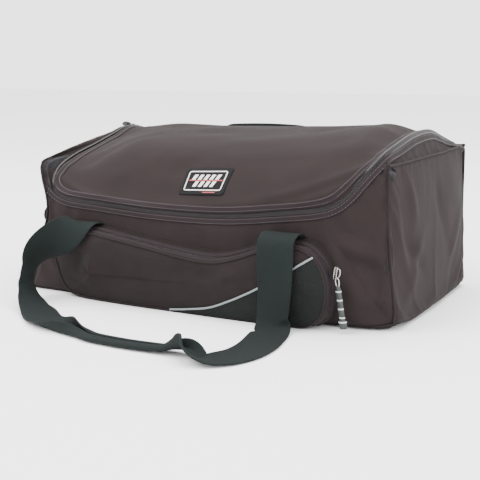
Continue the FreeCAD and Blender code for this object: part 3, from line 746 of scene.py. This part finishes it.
UP, AHEAD = (0, 0, 1), (0, -1, 0)
back_seam = evenly(back_top_edge, 160) + vec([0, 0.6, 0.6])
piping("back_seam_roll", back_seam, UP, 2.2, ["back_seam_piping"])
for name, part, up in (("left_top", 0, UP), ("left_front", 1, AHEAD), ("right_front", 3, AHEAD),
                       ("right_top", 4, UP)):
    piping(name + "_seam_roll", evenly(outer_part(part), 120), up, 1.5)
front_seam = evenly(outer_part(2), 160) + vec([0, 0.5, 0.6])
piping("front_bottom_seam_roll", front_seam, UP, 1.5)

# ---------------------------------------------------------------- front pocket
POCKET_EDGE = [(-226, 42, 6), (-230, 62, 7), (-222, 82, 9), (-200, 94, 15), (-168, 96, 23),
               (-130, 92.5, 29), (-103, 89, 30), (-55, 82, 30), (-17, 76, 30),
               (21, 72, 30), (51, 74, 30), (79, 82, 30), (103, 91, 30), (130, 98, 30), (151, 101, 30),
               (167, 98, 30), (181, 88, 30), (191, 73, 30),
               (196, 54, 30), (195, 36, 30), (189, 19, 29), (176, 7, 28), (158, 2.5, 27),
               (100, 1.5, 27), (0, 1.5, 26), (-100, 2, 24), (-174, 3, 18),
               (-203, 9, 12), (-218, 23, 8)]
POCKET_WALL = [(-229, 42), (-233, 63), (-225, 86), (-202, 102), (-168, 105),
               (-130, 103), (-103, 99), (-55, 93), (-17, 89),
               (21, 86), (51, 88), (79, 95), (103, 102), (130, 108), (153, 110),
               (171, 107), (189, 96), (201, 78),
               (206, 55), (205, 33), (198, 13), (181, 3), (160, 1.2), (100, 1),
               (0, 1), (-100, 1), (-176, 1),
               (-206, 6), (-221, 21)]
LOOP_STEPS = 16  # points from one row of an outline to the next


def loop(rows):
    """A closed pocket outline from (x, z, depth) rows."""
    return spline([(x, FRONT - 1.5 - d, z) for x, z, d in rows], closed=True, steps=LOOP_STEPS)[:-1]


pocket_edge = loop(POCKET_EDGE)
pocket_wall = loop([(x, z, 1) for x, z in POCKET_WALL])  # just clear of the front wall
SPINE = vec([[-150, 45], [140, 50]])
spine_x = np.clip(pocket_edge[:, 0], SPINE[0, 0], SPINE[1, 0])
spine_z = np.interp(spine_x, SPINE[:, 0], SPINE[:, 1]) - 4
spine = np.stack([spine_x, np.full_like(spine_x, POCKET_FRONT), spine_z], 1)
POCKET_BULGE, POCKET_RINGS = 9.0, 22


def pocket_surface(t):
    """A ring on the pocket's front: t from 0 at its edge to 1 at its middle line."""
    flat = pocket_edge * (1 - t) + spine * t
    away = np.linalg.norm((spine - pocket_edge)[..., ::2], axis=-1, keepdims=True) * t
    swell = POCKET_BULGE * (1 - np.exp(-away / 12))
    return flat - vec([0, 1, 0]) * swell * np.clip((FRONT - pocket_edge[..., 1:2]) / 30, 0.3, 1)


rings = np.stack([pocket_surface(t) for t in np.linspace(0, 1, POCKET_RINGS)])
wave = noise_field(rings, [0.016, 0.01, 0.03], 3.3)
small = noise_field(rings, [0.05, 0.03, 0.07], 7.9)
inset = np.linspace(0, 1, POCKET_RINGS)[:, None]
rings[..., 1] -= (wave * 4 + small * 1.5) * (1 - np.exp(-inset * 5))
POCKET_FOLDS = [
    ((-20, POCKET_FRONT - 8, 66), (70, POCKET_FRONT - 8, 48), 9, -3.5),
    ((20, POCKET_FRONT - 8, 40), (90, POCKET_FRONT - 8, 66), 8, 3.0),
    ((-160, POCKET_FRONT - 6, 80), (-190, POCKET_FRONT, 25), 10, -3.0),
    ((-120, POCKET_FRONT - 8, 30), (-40, POCKET_FRONT - 8, 22), 10, 2.5),
]
pocket_folds = fold_heights(rings, POCKET_FOLDS, lambda t: np.sin(math.pi * np.clip(t, 0.1, 0.9)))
rings[..., 1] -= pocket_folds * (1 - np.exp(-inset * 6))


def bag_cloth(name, grid, material, nodes, wrap=False):
    piece = mesh_of(name, grid, mats[material], wrap)
    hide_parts(*nodes)
    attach(piece, "bag")
    return piece


pocket_front = bag_cloth("pocket_front", rings, "pocket", ["pocket_front_panel"], True)
weld = pocket_front.modifiers.new("Weld", "WELD")
weld.merge_threshold = 0.0002


def outward_of(directions, grid):
    """The directions, turned away from the pocket's middle."""
    away = np.sum(directions * (grid - vec([0, POCKET_FRONT, 50])), axis=2, keepdims=True)
    return np.where(away > 0, directions, -directions)


def gusset_strip(t0, t1, height, count=6):
    """Part of the band from the pocket's edge, where t is 0, to the wall, where it is 1."""
    t = np.linspace(t0, t1, count)[:, None, None]
    strip = pocket_edge[None] * (1 - t) + pocket_wall[None] * t
    inward = (pocket_wall - pocket_edge)[None] + vec([0, 1e-6, 0])
    way = outward_of(unit(np.cross(np.gradient(strip, axis=1), inward)), strip)
    rise = height * np.sin(math.pi * np.linspace(0, 1, count))[:, None, None]
    return strip + way * rise


bag_cloth("pocket_side_band", gusset_strip(0.0, 1.02, 0.5, 12), "pocket",
          ["pocket_gusset", "pocket_lower_gusset"], True)
ZIP_FROM, ZIP_TO = 3 * LOOP_STEPS, 21 * LOOP_STEPS  # where the pocket's zip starts and ends


def pocket_zip_strip(name, t0, t1, lift, bulge, material, nodes):
    grid = gusset_strip(t0, t1, bulge)[:, ZIP_FROM:ZIP_TO]
    n = unit(outward_of(normals(grid, UP), grid))
    grid = grid + n * lift
    thicken(bag_cloth(name, grid, material, nodes), "Cloth", 1.2)
    return grid, n


pocket_zip_strip("pocket_zip_front_tape", 0.04, 0.24, 1.0, 1.0, "tape",
                 ["pocket_zip_tape_front"])
pocket_zip_strip("pocket_zip_rear_tape", 0.36, 0.60, 1.0, 1.2, "tape",
                 ["pocket_zip_tape_rear"])
coil_grid, coil_up = pocket_zip_strip("pocket_zip_bed", 0.24, 0.36, 0.4, 0.0, "coil",
                                      ["pocket_zip_coil"])
coil_line, coil_rise = coil_grid[3], coil_up[3]
coil_side = unit(np.cross(tangents(coil_line), coil_rise))
teeth = []
for offset, skip in ((0.9, 0), (-0.9, 0.5)):
    teeth += row_of(coil_line, coil_side, coil_rise, offset, 0.5, 2.2, (1.2, 2.2, 1.3), skip)
pocket_teeth = merged("pocket_zip_teeth", teeth, mats["coil"])
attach(pocket_teeth, "bag")

loop_edge = np.vstack([pocket_edge, pocket_edge[:2]])
piping("pocket_edge_roll", loop_edge - vec([0, 0.6, 0]), AHEAD, 1.7, ["pocket_edge_piping"])

# the accent panel and its reflective piping
ACCENT_CURVE = [(-26, 3.5), (0, 7), (36, 14), (66, 26), (87, 36), (106, 46), (130, 60), (152, 74),
                (180, 92)]
ACCENT_COUNT = 90


def pocket_depth(x, z):
    """The pocket front's y at x and z, from the nearest points of its mesh."""
    away = (rings[..., 0] - x) ** 2 + (rings[..., 2] - z) ** 2
    near = np.argsort(away, axis=None)[:6]
    weight = 1 / (away.ravel()[near] + 0.5)
    return float((rings[..., 1].ravel()[near] * weight).sum() / weight.sum())


accent_top = curve([(x, 0, z) for x, z in ACCENT_CURVE], ACCENT_COUNT)
nearest = np.argmin(np.linalg.norm(pocket_edge[:, ::2] - accent_top[-1, ::2], axis=1))
ACCENT_END = 24 * LOOP_STEPS + 6  # where the panel ends along the pocket's lower edge
lower = evenly(pocket_edge[nearest:ACCENT_END][::-1], ACCENT_COUNT)
accent = ruled(accent_top, lower, 26)
for row in accent[:-1]:
    for point in row:
        point[1] = pocket_depth(point[0], point[2]) - 1.0
accent[-1, :, 1] -= 0.6
accent_piece = make_mesh("pocket_accent", accent.reshape(-1, 3), grid_faces(*accent.shape[:2]),
                         mats["accent"], uv=accent[..., ::2])
thicken(accent_piece, "Cloth", 1.0)
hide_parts("pocket_accent_panel")
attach(accent_piece, "bag")
piping("pocket_reflective_roll", evenly(accent[0], 120) - vec([0, 0.8, 0]), AHEAD, 1.4,
       ["pocket_reflective_piping"], "reflective", 0.8)

# ---------------------------------------------------------------- webbing handles
FRONT_STRAP = [  # x, y, z of the middle, which way is across, fold: 0 flat, 1 round the grip
    (133, FRONT - 1.6, 98, 1, 0, 0, 0), (133, FRONT - 1.8, 106, 1, 0, 0, 0),
    (133, -166, 112, 1, 0, 0, 0), (133, -177, 116, 1, 0, 0, 0), (133, -190, 115, 1, 0, 0, 0),
    (133, -200, 106, 1, 0, 0, 0), (134, -204, 84, 1, 0, 0, 0), (135, -206, 52, 1, -0.15, 0, 0),
    (134, -208, 24, 1, -0.25, 0, 0), (135, -214, 8, 1, -0.3, 0, 0), (140, -228, 2.2, 1, -0.25, 0, 0),
    (148, -262, 1.6, 1, -0.12, 0, 0), (153, -293, 1.6, 1, -0.05, 0, 0),
    (152, -324, 1.8, 0.92, -0.35, 0, 0), (143, -349, 2.2, 0.7, -0.7, 0, 0),
    (129, -365, 3, 0.3, -0.9, 0.1, 0), (115, -368, 6, 0, -0.9, 0.36, 0.08),
    (99, -359, 10, 0, -0.9, 0.5, 0.4), (84, -355, 7, 0.05, -0.95, 0.3, 0.75),
    (63, -355, 4, 0.05, -1, 0.05, 1), (16, -356, 3.2, 0, -1, 0, 1), (-30, -352, 3.2, -0.15, -1, 0, 1),
    (-50, -345, 3.2, -0.2, -1, 0, 0.95), (-68, -340, 3, -0.3, -1, 0, 0.75),
    (-90, -333, 2.6, -0.4, -0.95, 0, 0.45), (-118, -321, 2, -0.5, -0.9, 0, 0.18),
    (-150, -298, 1.8, -0.55, -0.83, 0.04, 0), (-174, -276, 3.2, -0.42, -0.9, 0.1, 0),
    (-193, -259, 6.5, -0.2, -0.95, 0.2, 0), (-208, -246, 12, 0.05, -0.95, 0.28, 0),
    (-223, -236, 22, 0.25, -0.92, 0.28, 0), (-231, -229, 36, 0.33, -0.9, 0.25, 0),
    (-232, -222, 50, 0.25, -0.9, 0.33, 0), (-225, -216, 65, -0.05, -0.85, 0.46, 0),
    (-212, -211, 77, -0.45, -0.62, 0.52, 0), (-198, -206, 86, -0.65, -0.34, 0.54, 0),
    (-185, -199, 95, -0.82, -0.2, 0.42, 0), (-177, -190, 103, -0.95, -0.15, 0.2, 0),
    (-172, -179, 107, -1, 0, 0, 0), (-171, -168, 106, -1, 0, 0, 0),
    (-171, FRONT - 1.8, 101, -1, 0, 0, 0), (-171, FRONT - 1.6, 92, -1, 0, 0, 0),
]
REAR_STRAP = [
    (145, BACK + 1.6, 102, 1, 0, 0, 0), (145, BACK + 2, 114, 1, 0, 0, 0),
    (145, BACK + 8, 122, 1, 0, 0, 0), (144, 173, 132, 1, 0, 0, 0), (140, 179, 146, 1, 0, 0.3, 0),
    (127, 182, 163, 0.75, 0, 0.7, 0), (102, 182, 178, 0.45, 0, 0.9, 0), (70, 182, 188, 0.25, 0, 1, 0),
    (38, 182, 199, 0.3, 0, 1, 0.1), (18, 182, 207, 0.3, 0, 1, 0.6), (6, 182, 211, 0.2, 0, 1, 1),
    (-15, 182, 214, 0, 0, 1, 1), (-70, 182, 215, 0, 0, 1, 1), (-125, 182, 213, -0.15, 0, 1, 1),
    (-136, 182, 210, -0.3, 0, 1, 0.9), (-150, 182, 204, -0.45, 0, 0.9, 0.4),
    (-166, 182, 194, -0.6, 0, 0.8, 0), (-178, 182, 178, -0.95, 0, 0.3, 0),
    (-178, 182, 160, -1, 0, -0.1, 0), (-166, 180, 146, -1, 0, -0.3, 0),
    (-152, 174, 134, -1, 0, -0.2, 0), (-146, BACK + 8, 123, -1, 0, 0, 0),
    (-145, BACK + 2, 114, -1, 0, 0, 0), (-145, BACK + 1.6, 102, -1, 0, 0, 0),
]
ANCHOR_LOW, ANCHOR_HIGH = cad_mm("front_right_anchor")
WEB_WIDTH = ANCHOR_HIGH[0] - ANCHOR_LOW[0]
WEB_THICK = 2.4
GRIP_FLAT = 0.52  # share of the width that stays flat where the edges fold over
FOLD_TURN, FOLD_LIFT = math.radians(172), 2.9
WEB_CURL = 0.5  # how far flat webbing cups


def strap(name, stations, count, up_hint):
    """Webbing from sewn end to sewn end, its edges folded to the middle along the grip."""
    line = evenly(spline(stations, steps=20), count)
    centre, fold = line[:, :3], np.clip(line[:, 6], 0, 1)
    heading = tangents(centre)
    side = unit(line[:, 3:6] - heading * np.sum(line[:, 3:6] * heading, axis=1, keepdims=True))
    up = unit(np.cross(heading, side))
    if (up @ vec(up_hint)).mean() < 0:
        up = -up
    q = np.linspace(-1, 1, 17)
    half = WEB_WIDTH / 2
    over = np.maximum(np.abs(q) - GRIP_FLAT, 0)[None] * half
    angle = fold[:, None] * FOLD_TURN
    inner = np.minimum(np.abs(q), GRIP_FLAT)[None] * half
    across = np.sign(q)[None] * (inner + over * np.cos(angle))
    lift = fold[:, None] * np.where(over > 0, FOLD_LIFT, 0) * smooth(over / 3)
    above = over * np.sin(angle) + lift + WEB_CURL * (1 - fold[:, None]) * (q[None] ** 2)
    cloth = centre[:, None] + side[:, None] * across[..., None] + up[:, None] * above[..., None]
    web_uv = np.stack(np.meshgrid(q * half, lengths(centre)), axis=2)
    faces = grid_faces(*cloth.shape[:2])
    piece = make_mesh(name, cloth.reshape(-1, 3), faces, mats["webbing"], uv=web_uv)
    thicken(piece, "Webbing", WEB_THICK)
    smooth_out(piece)
    return piece, lengths(centre)[-1], (centre, side, up, fold)


front_strap, front_length, front_frame = strap("front_handle_strap", FRONT_STRAP, 300, (0, -0.3, 1))
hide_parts("front_handle_webbing", "front_handle_grip", "front_left_anchor",
            "front_right_anchor")
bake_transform(front_strap)

rear_strap, rear_length, rear_frame = strap("rear_handle_strap", REAR_STRAP, 180, (0, 1, 0))
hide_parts("rear_handle_webbing", "rear_handle_grip", "rear_left_anchor",
            "rear_right_anchor")
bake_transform(rear_strap)

# ---------------------------------------------------------------- label, sliders, floor, lights, camera
LABEL_LOW, LABEL_HIGH = cad_mm("label_patch")
label_centre = (LABEL_LOW + LABEL_HIGH) / 2 + vec([6, 0, 0])
lid_points = np.array([v.co for v in lid_shell.data.vertices]).reshape(LID_ROWS, LID_COLS, 3) / MM
lid_normals = normals(lid_points, LID_OUT)
off_centre = ((lid_points - label_centre)[..., ::2] ** 2).sum(axis=2)
off_centre[lid_points[..., 1] > 0] += 1e6  # the lid's back half isn't the place
label_row, label_col = np.unravel_index(np.argmin(off_centre), off_centre.shape)


def grid_step(rows, cols):
    """Distance from one point of the lid's grid to the next, near the label."""
    ahead, behind = (lid_points[label_row + k * rows, label_col + k * cols] for k in (4, -4))
    return np.linalg.norm(ahead - behind) / 8


row_step, col_step = grid_step(1, 0), grid_step(0, 1)


def on_lid(across, up, above):
    """A point above the lid, across and up from the label's middle."""
    r, c = label_row + up / row_step, label_col + across / col_step
    r0, c0 = int(r), int(c)
    fr, fc = r - r0, c - c0

    def mix(field):
        left, right = (field[r0, c] * (1 - fr) + field[r0 + 1, c] * fr for c in (c0, c0 + 1))
        return left * (1 - fc) + right * fc

    return mix(lid_points) + unit(mix(lid_normals)) * above


def plate(outline, low, high, bevel=0.8, fan=7):
    """A raised shape on the lid with a drawn-in top edge, filled in rings to its middle."""
    outline = vec(outline)
    centre = outline.mean(axis=0)
    levels = [(1.0, low), (1.0, high - bevel), (1 - bevel / 20, high)]
    levels += [(k, high) for k in np.linspace(0.85, 0.0, fan)]
    points = [on_lid(*(centre + (p - centre) * k), h) for k, h in levels for p in outline]
    return points, grid_faces(len(levels), len(outline), wrap=True)


def rounded_box(width, height, radius, x=0.0, z=0.0, corner=5):
    outline = []
    for sx, sz, start in ((1, 1, 0), (-1, 1, 90), (-1, -1, 180), (1, -1, 270)):
        for a in np.radians(np.linspace(start, start + 90, corner)):
            outline.append((x + sx * (width / 2 - radius) + radius * math.cos(a),
                            z + sz * (height / 2 - radius) + radius * math.sin(a)))
    return outline


MARK_FOOT = 1.2  # where the marks start, inside the label
LABEL_W, LABEL_H = LABEL_HIGH[0] - LABEL_LOW[0], LABEL_HIGH[2] - LABEL_LOW[2]
label_base = merged("label_base", [plate(rounded_box(LABEL_W, LABEL_H, 4), -1.5, 1.6)], mats["label"])
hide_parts("label_patch")


def frame_ring(width, height, radius, band_width, high):
    outer = rounded_box(width, height, radius)
    inner = rounded_box(width - 2 * band_width, height - 2 * band_width, max(radius - band_width, 0.6))
    levels = ((outer, MARK_FOOT), (outer, high), (inner, high), (inner, MARK_FOOT))
    points = [on_lid(*p, h) for line, h in levels for p in line]
    return points, grid_faces(4, len(outer), wrap=True)


def bar(x, z):
    """A slanted bar's outline."""
    corners = ((-2.5, -4, -1.5), (2.5, -4, -1.5), (2.5, 4, 1.5), (-2.5, 4, 1.5))
    return [(x + across + lean, z + up) for across, up, lean in corners]


def mark(outline, high):
    return plate(outline, MARK_FOOT, high, 0.2, 3)


light_parts = [frame_ring(LABEL_W - 13, LABEL_H - 12, 3, 1.3, 2.2)]
light_parts += [mark(bar(-18 + 9 * k, 5), 2.3) for k in range(5)]
light_parts += [mark(bar(-13.5 + 9 * k, -5), 2.3) for k in range(4)]
label_light = merged("label_light_marks", light_parts, mats["label_light"])
red_parts = [mark(rounded_box(LABEL_W - 20, 1.5, 0.6), 2.2),
             mark(rounded_box(20, 1.4, 0.6, 12, -16.8), 2.1)]
label_red = merged("label_red_marks", red_parts, mats["label_red"])
for piece in (label_base, label_light, label_red):
    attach(piece, "lid")


def slider_body(name, middle_point, along, across, above, body, node):
    """A zip slider: two tapered plates joined by a wedge, with an arched bridge over the top."""
    along, across, above = unit(vec(along)), unit(vec(across)), unit(vec(above))
    outline = [(-8, 2.6), (-5, 4.4), (3, 4.4), (8, 3.0), (8, -3.0), (3, -4.4), (-5, -4.4), (-8, -2.6)]
    points, faces = [], []

    def add(more_points, more_faces):
        faces.extend(tuple(len(points) + k for k in face) for face in more_faces)
        points.extend(more_points)

    for low, high in ((-1.9, -0.6), (2.2, 3.5)):
        rings = ((0.9, low), (1, low + 0.35), (1, high - 0.35), (0.86, high))
        add([middle_point + along * a * k + across * c * k + above * h
             for k, h in rings for a, c in outline],
            grid_faces(4, 8, wrap=True) + [tuple(range(8))[::-1], tuple(range(24, 32))])
    wedge = [(-3, 0), (1, 1.5), (7, 1.1), (7, -1.1), (1, -1.5)]
    add([middle_point + along * a + across * c + above * h for h in (-0.7, 2.3) for a, c in wedge],
        grid_faces(2, 5, wrap=True))
    arch = curve([(5.5, 3.2), (4.8, 5.6), (1.5, 6.9), (-2.5, 6.4), (-4.8, 4.4), (-5.2, 3.2)], 22)
    line = middle_point + along * arch[:, :1] + above * arch[:, 1:]
    lift = unit(np.cross(across, tangents(line)))
    section = round_section(1.15, 8, 0.8)
    add([p + across * a * 1.5 + n * b for p, n in zip(line, lift) for a, b in section],
        grid_faces(len(line), 8, wrap=True))
    piece = make_mesh(name, points, faces, mats["metal"])
    edge = piece.modifiers.new("Soft edges", "BEVEL")
    edge.width, edge.segments, edge.limit_method = 0.25 * MM, 2, "ANGLE"
    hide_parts(node)
    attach(piece, body)


PULL_FLATNESS = 0.55  # a pull's depth against its width


def pull_tab(name, top, bottom, wide, body, node):
    """A moulded pull: a wire eye, a ribbed rubber grip with light bands, and a flared foot."""
    top, bottom = vec(top), vec(bottom)
    fall = unit(bottom - top)
    wide = unit(vec(wide) - fall * (vec(wide) @ fall))
    deep = np.cross(fall, wide)
    size = np.linalg.norm(bottom - top)

    def spun(stations, material, piece_name, count=20):
        angles = np.linspace(0, 2 * math.pi, count, endpoint=False)
        points = [top + fall * d + wide * w * math.cos(a) + deep * w * PULL_FLATNESS * math.sin(a)
                  for d, w in stations for a in angles]
        faces = grid_faces(len(stations), count, wrap=True)
        faces += [tuple(range(count))[::-1], tuple(range(len(points) - count, len(points)))]
        piece = make_mesh(piece_name, points, faces, material)
        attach(piece, body)
        return piece

    start = 9.0
    profile = [(start, 1.6), (start + 0.8, 3.2), (start + 3, 4.0)]
    bands = np.linspace(start + 7, size - 14, 4)
    for band_at in bands:
        profile += [(band_at - 1.6, 4.6), (band_at - 1.2, 3.9), (band_at + 1.2, 3.9),
                    (band_at + 1.6, 4.7)]
    profile += [(size - 10, 4.6), (size - 8.5, 6.0), (size - 5, 6.6), (size - 1.2, 6.2), (size, 4.8)]
    grip = spun(profile, mats["rubber"], name)
    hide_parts(node)
    for number, band_at in enumerate([*bands, size - 8.6]):
        w = 4.25 if number < 4 else 6.1
        ring = [(band_at - 1.0, w), (band_at - 0.7, w + 0.45), (band_at + 0.7, w + 0.45),
                (band_at + 1.0, w)]
        spun(ring, mats["rubber_light"], f"{name}_band_{number}")
    eye = curve([(-1.5, 0), (0.5, 2.6), (5, 3.2), (9, 2.2), (11, 0), (9, -2.2), (5, -3.2), (0.5, -2.6),
                 (-1.5, 0)], 40)
    line = top + fall * eye[:, :1] + wide * eye[:, 1:]
    side, lift = frames(line, np.broadcast_to(deep, line.shape).copy())
    wire = sweep(name + "_eye", line, side, lift, round_section(0.9, 8), mats["metal"])
    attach(wire, body)


slider_middle = sum(cad_mm("pocket_slider")) / 2 + vec([-1.5, -1, -1])
slider_body("pocket_slider_body", slider_middle, (0.12, 0, 1), (0, 1, 0), (1, -0.35, 0),
            "pocket_slider", "pocket_slider")
pull_low, pull_high = cad_mm("pocket_pull")
pull_y = (pull_low[1] + pull_high[1]) / 2 - 3
pull_tab("pocket_pull_grip", (pull_low[0] - 1.0, pull_y, pull_high[2] - 4),
         (pull_high[0] - 4, pull_y, pull_low[2] + 3), (1, -0.5, 0), "pocket_pull", "pocket_pull")
slider_middle = sum(cad_mm("main_slider")) / 2 + vec([2.5, 0, -5.5])
slider_body("main_slider_body", slider_middle, (0, -0.963, 0.269), (1, 0, 0.2), (-0.3, 0.25, 0.9),
            "main_slider", "main_slider")
pull_low, pull_high = cad_mm("main_pull")
pull_x = (pull_low[0] + pull_high[0]) / 2
pull_tab("main_pull_grip", (pull_x, pull_high[1] - 2, pull_low[2] - 4),
         (pull_x, pull_low[1], pull_high[2] - 13), (1, 0, 0.2), "main_pull", "main_pull")


def seam_rows(name, strap_frame, picked, offsets, heights, body):
    """Rows of stitches along part of a strap."""
    line, side, up = (part[picked] for part in strap_frame[:3])
    rows = []
    for offset in offsets:
        for height in heights:
            rows += row_of(line, side, up, offset, height, 4.0, (2.8, 0.8, 0.6))
    piece = merged(name, rows, mats["web_thread"])
    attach(piece, body)


ROOT_LENGTH = 22  # how much of each end of a strap is sewn down
ROOT_OFFSETS, GRIP_OFFSETS = (-20, -7, 7, 20), (-3.2, 3.2)
FACE = 1.45  # where stitches lie on flat webbing, above its middle
for handle, strap_frame, length in (("front", front_frame, front_length),
                                    ("rear", rear_frame, rear_length)):
    total = len(strap_frame[0])
    root = int(ROOT_LENGTH / (length / total))
    for end, picked in (("right", slice(1, root)), ("left", slice(total - root, total - 1))):
        seam_rows(f"{handle}_root_stitches_{end}", strap_frame, picked, ROOT_OFFSETS,
                  (FACE, -FACE), "bag")
    folded = np.flatnonzero(strap_frame[3] > 0.97)
    seam_rows(f"{handle}_grip_stitches", strap_frame, slice(folded[0] + 3, folded[-1] - 2), GRIP_OFFSETS,
              (4.6, -FACE), f"{handle}_handle")

FLOOR = 9000
corners = [(-FLOOR, -FLOOR, 0), (FLOOR, -FLOOR, 0), (FLOOR, FLOOR, 0), (-FLOOR, FLOOR, 0)]
floor = make_mesh("studio_floor", corners, [(0, 1, 2, 3)], mats["floor"])


def softbox(name, where, towards, size, watts):
    light = bpy.data.lights.new(name, "AREA")
    light.shape, light.size, light.energy = "SQUARE", size, watts
    o = bpy.data.objects.new(name, light)
    o.location = where
    o.rotation_euler = (Vector(towards) - Vector(where)).to_track_quat("-Z", "Y").to_euler()
    bpy.context.scene.collection.objects.link(o)


softbox("key", (-1.2, -1.6, 2.4), (0, 0, 0.1), 1.6, 70)
softbox("top", (0.3, 0.4, 2.6), (0, 0, 0.1), 2.4, 85)
softbox("fill", (2.2, -1.4, 1.2), (0, 0, 0.1), 1.8, 25)
world = bpy.data.worlds.new("studio")
world.use_nodes = True
world.node_tree.nodes["Background"].inputs["Color"].default_value = (1, 1, 1, 1)
world.node_tree.nodes["Background"].inputs["Strength"].default_value = 3.0
bpy.context.scene.world = world

EYE, AIM = Vector((0.653, -1.284, 0.323)), Vector((-0.0217, 0.0019, 0.0667))
camera_data = bpy.data.cameras.new("camera")
camera_data.lens, camera_data.sensor_width = 75, 36
camera = bpy.data.objects.new("camera", camera_data)
camera.location = EYE
camera.rotation_euler = (AIM - EYE).to_track_quat("-Z", "Y").to_euler()
bpy.context.scene.collection.objects.link(camera)
bpy.context.scene.camera = camera
